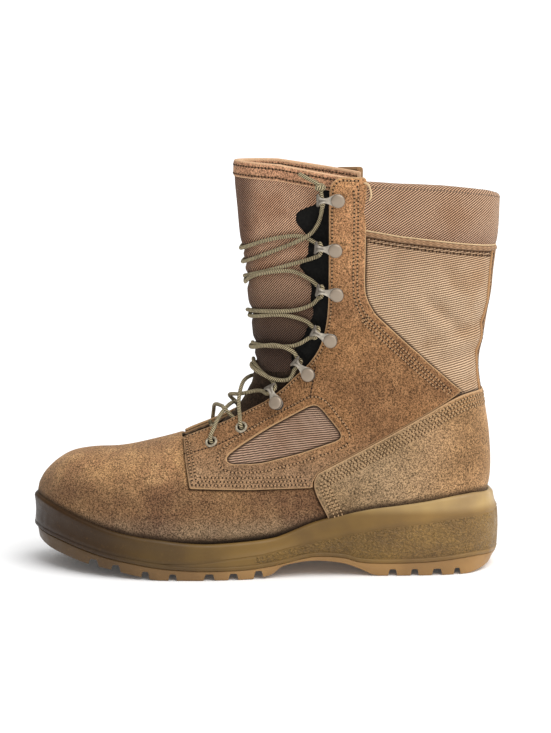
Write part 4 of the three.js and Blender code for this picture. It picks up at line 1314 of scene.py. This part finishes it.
def make_tongue(boot, skin, lace_points, looks):
    skin = marked_tongue(pressed_tongue(boot, skin, lace_points))
    fabric = skin.above("fabric")
    upper = fabric.above("low")
    tongue, _ = sheet_piece("tongue_twill", upper.above("side"), -1.6, 1.6, looks["tongue"], ["tongue"])
    # the gusset and the base are painted near black and dark brown as the shade beside and below the twill
    sheet_piece("tongue_gusset", upper.above("gusset"), -2.6, 1.2, looks["gusset"])
    sheet_piece("tongue_base_and_shade", skin.above("base"), -2.0, 1.4, looks["base"])
    quilting = -TONGUE - 0.5 * np.cos(fabric.values["arc"] * 2 * math.pi / 5.2)
    points, triangles, values = fabric.shell(-2.8, quilting)
    piece("tongue_lining", points, triangles, looks["quilt"], {"weave": values["weave"]})
    make_binding(skin.above("band"), looks)


def make_binding(band, looks):
    """The suede that is folded over the tongue's top, and its stitches on both faces."""
    values = band.values
    values["edge"] = np.minimum(values["band"], values["outline"])
    for level in (0.4, 1.2, BINDING_ROUND):
        band = band.split("edge", level)
    outer = -1.0 + eased(band.values["edge"], 1.9, BINDING_ROUND)
    inner = 1.0 - TONGUE - eased(band.values["edge"], 1.6, BINDING_ROUND)
    points, triangles, values = band.shell(outer, inner)
    edge = np.maximum(values["edge"], 0.4)
    piece("tongue_binding", points, triangles, looks["binding"], {"edge": edge})
    for name, levels, lift in (("binding_stitches", (2.0, 7.6), 0.95),
                               ("binding_stitches_inside", (2.4, 7.4), -TONGUE - 0.55)):
        stitches(name, band, [("band", levels, None)], lift, looks["dark_thread"],
                 keep=lambda p: p[:, 0] > 92)


# ---- the sole ----
def sole_loop(step):
    """The plan outline as evenly spaced rows of SOLE's columns, with one side's Y, and inward ways."""
    lateral = np.delete(SOLE, 2, 1)
    medial = np.delete(SOLE, 1, 1)[::-1]
    corners = np.concatenate([lateral, medial])
    n = len(corners)
    closed = np.concatenate([corners[-3:], corners, corners[:3]])
    fine = mix_rows(closed, np.linspace(3, n + 3, 24 * n))
    along = lengths(fine[:, :2])
    table = resampled(np.linspace(0, along[-1], round(along[-1] / step) + 1)[:-1], along, fine)
    table[:, 4] = np.maximum(table[:, 4], 0)
    ways = unit(np.roll(table[:, :2], -3, 0) - np.roll(table[:, :2], 3, 0))
    return table, np.stack([ways[:, 1], -ways[:, 0]], 1)


def inset_loops(table, inward, levels):
    """Loops of the plan outline at levels of (height, how far it is drawn in)."""
    return [np.column_stack([table[:, :2] + inward * np.reshape(inset, (-1, 1)), z]) for z, inset in levels]


def ring_of(loops):
    """A closed ring whose section is the row of loops."""
    return np.concatenate(loops), grid_triangles(len(loops), len(loops[0]), ring=True)


def make_midsole(looks):
    """The cup: a lip under the rim, a groove along the arch line, a swelling under it, a parting lip."""
    table, inward = sole_loop(STEP)
    x, _, rim, parting, _, in_rim, in_parting, _ = table.T
    arch = np.clip(height_on(ARCH_LINE, x), parting + 2.0, rim - 6)
    swell = (x < 160) * smooth_step((arch - parting - 4) / 6)
    levels = [
        (parting, in_parting + 5), (parting, in_parting + 0.3), (parting + 0.25, in_parting),
        (parting + 2.0, 0), (parting + 2.3, 0.35), (parting + 2.8, 0.35), (parting + 3.1, 0.05)]
    for share in (0.25, 0.5, 0.75):
        bulge = 0.5 * swell * math.sin(math.pi * share)
        levels.append((parting + 3.1 + share * (arch - parting - 3.6), 0.05 - bulge))
    levels += [(arch - 0.5, 0.1), (arch, 0.65), (arch + 0.6, 0.7), (arch + 1.2, 0.25)]
    for share in (0.2, 0.4, 0.6, 0.8):
        hollow = 0.25 + 0.55 * math.sin(math.pi * share)
        levels.append((arch + 1.2 + share * (rim - arch - 3.8), hollow + in_rim * share * 0.75))
    # the rim's lip: depth under the rim, share of the rim's inset, and more inset
    for depth, share, more in ((2.4, 0.8, 0.1), (1.7, 0.83, 0.2), (1, 0.88, 0.55), (0.45, 0.95, 1.05),
                               (0.1, 1, 1.6), (0, 1, 2.2), (0.3, 1, 2.8), (3, 1, 5)):
        levels.append((rim - depth, in_rim * share + more))
    pebble = np.zeros((len(levels), len(x)))
    pebble[6:11] = swell
    points, triangles = ring_of(inset_loops(table, inward, levels))
    piece("midsole_shell", points, triangles, looks["midsole"], {"pebble": pebble.ravel()},
          ["midsole"], sharp=60)


def closed_loft(loops):
    """Stacked loops, from the lowest up, closed by strips across each end."""
    n = len(loops[0])
    k = np.arange((n - 1) // 2)
    parts = [grid_triangles(len(loops), n)]
    for start, flip in ((0, 1), ((len(loops) - 1) * n, -1)):
        a, b, c, d = (start + x for x in (k, k + 1, n - 2 - k, n - 1 - k))
        cap = np.concatenate([np.stack([a, b, c], 1), np.stack([a, c, d], 1)])
        cap = cap[(cap[:, 0] != cap[:, 1]) & (cap[:, 1] != cap[:, 2]) & (cap[:, 0] != cap[:, 2])]
        parts.append(cap[:, ::flip])
    return facing_out(np.concatenate(loops), np.concatenate(parts))


def channel_cutter(table, inward):
    """The groove that runs round the tread, inside its edge lugs."""
    parting, bottom = table[:, 3], table[:, 4]
    roof = np.minimum(bottom + LUG_DEPTH, parting - 2)
    wide = CHANNEL_IN + CHANNEL
    levels = [(bottom - 4, CHANNEL_IN), (roof, CHANNEL_IN + 0.5), (roof, wide - 0.5), (bottom - 4, wide)]
    loops = inset_loops(table, inward, levels)
    for loop in loops:
        for _ in range(12):
            plan = loop[:, :2]
            loop[:, :2] = (np.roll(plan, 2, 0) + np.roll(plan, -2, 0) + 2 * plan) / 4
    return facing_out(*ring_of(loops))


def gap_cutter(x, width):
    """A tread gap across the whole sole, narrower towards its roof, whose corners are eased."""
    roof = height_on(SOLE[:, [0, 5]], x) + LUG_DEPTH
    low, top = width * 0.675, width * 0.325
    half = [(low, roof - 9), (top + 0.3, roof - 0.8), (top - 0.4, roof)]
    outline = [(x - low, roof - 9)] + [(x + dx, z) for dx, z in half] + [(x - dx, z) for dx, z in half[:0:-1]]
    rings = np.array([[(px, y, pz) for px, pz in outline] for y in (-SOLE_SIDE, SOLE_SIDE)])
    return capped(rings, (x, -SOLE_SIDE, roof - 4), (x, SOLE_SIDE, roof - 4))


def make_outsole(looks):
    """The tread's slab, with the channel and the gaps cut out of it and its edges eased."""
    table, inward = sole_loop(2.2)
    parting, bottom, _, in_parting, in_bottom = table.T[3:]
    levels = [(bottom, in_bottom + 0.9), (bottom + 0.3, in_bottom + 0.3), (bottom + 0.9, in_bottom),
              (parting - GAP - 0.6, in_parting + 0.4), (parting - GAP, in_parting + 0.9)]
    points, triangles = closed_loft(inset_loops(table, inward, levels))
    slab = piece("outsole_tread", points, triangles, looks["outsole"], None, ["outsole"],
                 sharp=30)
    cutters = [channel_cutter(table, inward)] + [gap_cutter(*row) for row in TREAD_GAPS]
    tools = [mesh_object(f"cutter_{k}", *cutter) for k, cutter in enumerate(cutters)]
    for tool in tools:
        cut = slab.modifiers.new("cut", "BOOLEAN")
        cut.operation, cut.solver, cut.object = "DIFFERENCE", "EXACT", tool
    bevel = slab.modifiers.new("edges", "BEVEL")
    bevel.width, bevel.segments, bevel.limit_method = 0.45 * MM, 2, "ANGLE"
    bevel.angle_limit = math.radians(42)
    graph = bpy.context.evaluated_depsgraph_get()
    mesh = bpy.data.meshes.new_from_object(slab.evaluated_get(graph))
    slab.modifiers.clear()
    slab.data = mesh
    for tool in tools:
        bpy.data.objects.remove(tool)
    mesh.shade_smooth()
    mesh.set_sharp_from_angle(angle=math.radians(32))


# ---- hooks, eyelets and the small thread ----
HOOK_CAP = [
    (0, 7.0), (2.2, 6.95), (3.5, 6.7), (4.2, 6.3), (4.55, 5.7), (4.5, 5.2), (4.1, 4.85), (2.4, 4.7),
    (2.3, 1.0), (3.4, 0.5), (3.8, 0), (0, 0),
]
# the hook's plate: distance from the rivet, half width and height of its middle
HOOK_PLATE = [
    (-3.9, 0.9, 3.7), (-3.4, 2.4, 3.7), (-2, 3.8, 3.7), (0, 4.4, 3.7), (2, 4.2, 3.7), (4, 3.3, 3.7),
    (6, 2.3, 3.8), (8, 1.75, 3.9), (9.5, 1.65, 3.9), (11, 2.0, 3.8), (12.3, 3.0, 3.4), (13.2, 3.4, 2.6),
    (13.5, 3.4, 1.9),
]
PLATE_THICK = 1.2
# the hook's crossbar, across and up, at its distance from the rivet
HOOK_BAR = [(-3.9, 1.6), (-3.5, 2.3), (-2, 2.7), (2, 2.7), (3.5, 2.3), (3.9, 1.6)]
HOOK_BAR_AT = 13.3
EYELET_SECTION = [
    (2.4, -4.2), (2.95, -4.2), (2.95, -0.4), (4.1, -0.1), (4.2, 0.4), (3.8, 0.95), (3.2, 1.1),
    (2.6, 0.8), (2.4, 0.2),
]

# the small thread at the facing's rear top corner: X, Z and height over the last
TACK = [(90.5, 259.6, 2.2), (87.6, 258.6, 2.8), (86.2, 255, 2.9), (85.8, 251, 2.7), (87, 247.8, 2.2)]


def hook_form():
    """A riveted stem with a domed cap over a plate that narrows to a neck and ends in a crossbar."""
    turn = np.arange(16) * math.pi / 8
    c, s = np.cos(turn), np.sin(turn)
    rings = []
    for u, half, w in mix_rows(np.array(HOOK_PLATE), np.linspace(0, len(HOOK_PLATE) - 1, 37)):
        v = half * np.sign(c) * abs(c) ** 0.6
        groove = 0.7 * np.exp(-(v / 0.75) ** 2) * smooth_step((u - 6) / 2) * (s > 0.2)
        up = w + PLATE_THICK / 2 * np.sign(s) * abs(s) ** 0.6 - groove
        rings.append(np.column_stack([np.full(16, u), v, up]))
    rings = np.array(rings)
    plate = capped(rings, rings[0].mean(0), rings[-1].mean(0))
    bar = tube(spline([(HOOK_BAR_AT, v, w) for v, w in HOOK_BAR], 0.5), 0.95)[:2]
    cap = turned(HOOK_CAP)
    points, triangles = joined([cap, plate, bar])
    u, v, w = points.T
    on_cap = np.arange(len(points)) < len(cap[0])
    # painted shade on the cap's rim and underside, in the neck's groove and on the tip that turns in
    tip, groove = smooth_step((u - 10.5) / 3), (abs(v) < 0.3) * smooth_step((u - 7) / 2)
    shade = np.where(on_cap, w < 6.0, 0.75 * np.maximum(tip, groove))
    return points, triangles, {"cap": on_cap.astype(float), "shade": shade}


def eyelet_form():
    """A rolled flange and the barrel through the leather."""
    turn = np.arange(28) * math.pi / 14
    loops = [np.column_stack([r * np.cos(turn), r * np.sin(turn), np.full(28, z)]) for r, z in EYELET_SECTION]
    points, triangles = facing_out(*ring_of(loops))
    # painted shade in the barrel and under the flange's rim
    return points, triangles, {"shade": (points[:, 2] < 0.3) * 0.9}


def fit_on(boot, form, seat, look, node):
    """A fitting set on the leather at (x, z, side, and the way it points)."""
    axes, place = boot.fitting(*seat, GAP + OVERLAY)
    points, triangles, values = form
    mirrored = np.linalg.det(axes) < 0
    triangles = triangles[:, ::-1] if mirrored else triangles
    piece(f"{node}_formed", points @ axes + place, triangles, look, values, [node], sharp=35)


def make_fittings(boot, looks):
    hook, eyelet = hook_form(), eyelet_form()
    for side, name in SIDES:
        for i, (x, z, ux, uz) in enumerate(HOOKS, 1):
            fit_on(boot, hook, (x, z, side, ux, uz), looks["hook"], f"hook_{name}_{i}")
        for i, (x, z) in enumerate(EYELETS, 1):
            fit_on(boot, eyelet, (x, z, side, 1, 0), looks["eyelet"], f"eyelet_{name}_{i}")


def make_tack(boot, looks):
    """A loose bar tack at the rear top corner of the facing."""
    line = []
    for x, z, lift in TACK:
        point, normal = boot.seat(x, z, 1)
        line.append(point + normal * lift)
    tube_piece("corner_thread", spline(line, 0.7), 0.65, looks["piping"], sides=8, sharp=CREASED)


# ---- the stage ----
def make_camera():
    camera = bpy.data.cameras.new("camera")
    camera.lens = 130.05
    camera.sensor_width = 36
    made = placed("camera", camera)
    made.location = (-0.00665, 1.736, 0.424)
    made.rotation_euler = (math.radians(80.5), 0, math.radians(180))
    bpy.context.scene.camera = made


def make_stage():
    """A pale floor, a wide soft sun from the heel's side, and the sky."""
    half = 20
    mesh = bpy.data.meshes.new("floor")
    corners = [(-half, -half, 0), (half, -half, 0), (half, half, 0), (-half, half, 0)]
    mesh.from_pydata(corners, [], [(0, 1, 2, 3)])
    floor = placed("floor", mesh)
    floor.location.z = CAD_LOW.z
    look = Look("floor", 0.9, specular=0.0)
    look.feed(look.shader, {"Emission Color": (1, 1, 1, 1), "Emission Strength": 0.04})
    mesh.materials.append(look.finish(look.mix(look.noise(400, 2), "fbfbfb", "fdfdfd")))
    make_sky()
    lamp = bpy.data.lights.new("key", "SUN")
    lamp.energy = 2.1
    lamp.angle = math.radians(55)
    placed("key", lamp).rotation_euler = Vector((-0.42, 0.42, 1.0)).to_track_quat("Z", "Y").to_euler()
    bpy.context.scene.view_settings.view_transform = "Standard"


def make_sky():
    """White light, brighter from the heel's side than from the toe's."""
    world = bpy.data.worlds.new("studio")
    world.use_nodes = True
    nodes, links = world.node_tree.nodes, world.node_tree.links
    direction = nodes.new("ShaderNodeSeparateXYZ")
    links.new(nodes.new("ShaderNodeTexCoord").outputs["Generated"], direction.inputs[0])
    strength = nodes.new("ShaderNodeMapRange")
    for name, value in (("From Min", -0.8), ("From Max", 0.8), ("To Min", 1.05), ("To Max", 0.3)):
        strength.inputs[name].default_value = value
    links.new(direction.outputs["X"], strength.inputs["Value"])
    links.new(strength.outputs[0], nodes["Background"].inputs["Strength"])
    nodes["Background"].inputs["Color"].default_value = (1, 1, 1, 1)
    bpy.context.scene.world = world


def make_looks():
    """Every material by its name here; grades shift a colour along the boot's length or height."""
    plain = (1, 1, 1)
    return {
        # vamp: painted light makes it lighter towards its top; its lowest part is tinted lighter and greyer
        "vamp": suede("vamp_suede", "6a4c35", "866544", "9b7955", "a3805c", [
            (TALL, 50, 76, (0.88, 0.88, 0.9), (2.0, 2.1, 2.0)), (TALL, 30, 46, (1.0, 1.2, 1.5), plain)]),
        # quarter: painted light makes it lighter towards its top; it turns greyer towards its lower edge
        "quarter": suede("quarter_suede", "795639", "906844", "aa7f57", "c09a70", [
            (TALL, 140, 240, plain, (1.85, 1.9, 2.0)), (TALL, 60, 100, (1.02, 1.25, 1.6), plain)]),
        "counter": suede("counter_suede", "7f6447", "9b7d5d", "b28f67", "c4a078", [
            (LONG, -150, -70, (1.16, 1.05, 0.94), (0.94, 1.0, 1.04))]),
        "binding": suede("binding_suede", "9d7357", "bd8c6b", "cfa27d", "e0b891"),
        "backstay": suede("backstay_suede", "7a5a41", "936d4a", "a8835a", "b98f65"),
        # the tongue's base: dark suede that paints the shade low in the throat
        "base": suede("tongue_base_suede_and_shade", "2b2019", "3a2b20", "4b3a2b", "5a4634"),
        "welt": twill("welt_cloth", "8c6a4c", "c09772", "d8c8b8", 1.3, 0.3, 0.5),
        "shaft": twill("shaft_cloth", "745a42", "eecca8", "e0cdb6", 1.5, 0.05, 0.5, 0.12, [
            (TALL, 180, 225, plain, (0.9, 0.84, 0.8))]),
        "window": twill("window_cloth", "4b392d", "cba88e", "d9c8b8", 1.5, 0.05, 0.5),
        # collar: painted shade darkens it below its lit top, towards the seam
        "collar": twill("collar_cloth", "432d1e", "e8bb97", "dcc6ae", 1.7, 0.7, 1.0, 0.25, [
            (TALL, 215, 236, (0.8, 0.76, 0.78), plain)]),
        "lining": twill("lining_cloth", "5a4736", "7d6650", "d0c4b8", 1.5, 0.0),
        # tongue: painted light and shade, much darker low down where the laces and the gap shade it, lighter
        # at the top, darker at its front edge
        "tongue": twill("tongue_twill", "2c1d16", "e6bb9a", "c9ad98", 1.5, 0.9, 0.15, 0.1, [
            (TALL, 152, 222, (0.16, 0.14, 0.14), (1.28, 1.21, 1.16)),
            (LONG, 2, 16, plain, (0.36, 0.32, 0.32))]),
        "quilt": twill("quilted_lining", "4f3f31", "75604b", "d0c4b8", 1.2, 0.0),
        # the gusset: near-black cloth that paints the shade between the tongue and the facings
        "gusset": plain_look("gusset_cloth", "0e0d0c", "191816", 2.0),
        "footbed": plain_look("footbed_foam", "38302a", "4b4138", 1.6),
        # light piping that is also the painted highlight on the collar's lower edge; the corner thread uses
        # it too
        "piping": plain_look("piping", "c9a981", "e0c49c", 1.2, 0.8, 0.1),
        # a thin dark line of painted shadow under the collar's welt
        "groove": plain_look("groove_shadow_line", "4b3424", "5f4631", 1.2, 0.9, 0.1),
        "thread": thread_look("thread", "a07c58", "bd9871"),
        "pale_thread": thread_look("pale_thread", "a98963", "c4a37b", "49331f"),
        "dark_thread": thread_look("dark_thread", "5d452f", "7b5d42"),
        # midsole: darker forward of the heel; painted shade darkens the toe and a painted highlight lightens
        # the rim's lip
        "midsole": rubber("midsole_rubber", "795d36", "91713d", "2c1e0c", [
            (LONG, -110, -50, plain, (0.7, 0.69, 0.61)), (LONG, 60, 150, plain, (0.71, 0.5, 0.24)),
            (TALL, 40, 46, plain, (1.62, 1.85, 2.5))]),
        "outsole": rubber("outsole_rubber", "8e6c43", "a47e4d", "342413"),
        "lace": lace_look(),
        "hook": metal_look("hook_paint", "a2988a", "cdc3b1", "9c8c7a"),
        "eyelet": metal_look("eyelet_bronze", "978b76", "c6bba4", "978b76"),
    }


make_camera()
boot = Boot()
tongue = tongue_skin(STEP, TONGUE_AROUND)
looks = make_looks()
make_tail(looks)
lace_points = make_laces(Lacing(boot, tongue), looks)
make_tongue(boot, tongue, lace_points, looks)
make_upper(boot, looks)
make_lining(boot, looks)
make_quarters(boot, looks)
make_counter(boot, looks)
make_backstay(boot, looks)
make_collar(boot, looks)
make_midsole(looks)
make_outsole(looks)
make_fittings(boot, looks)
make_tack(boot, looks)
for material_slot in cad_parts["insole"].material_slots:
    material_slot.material = looks["footbed"]
make_stage()
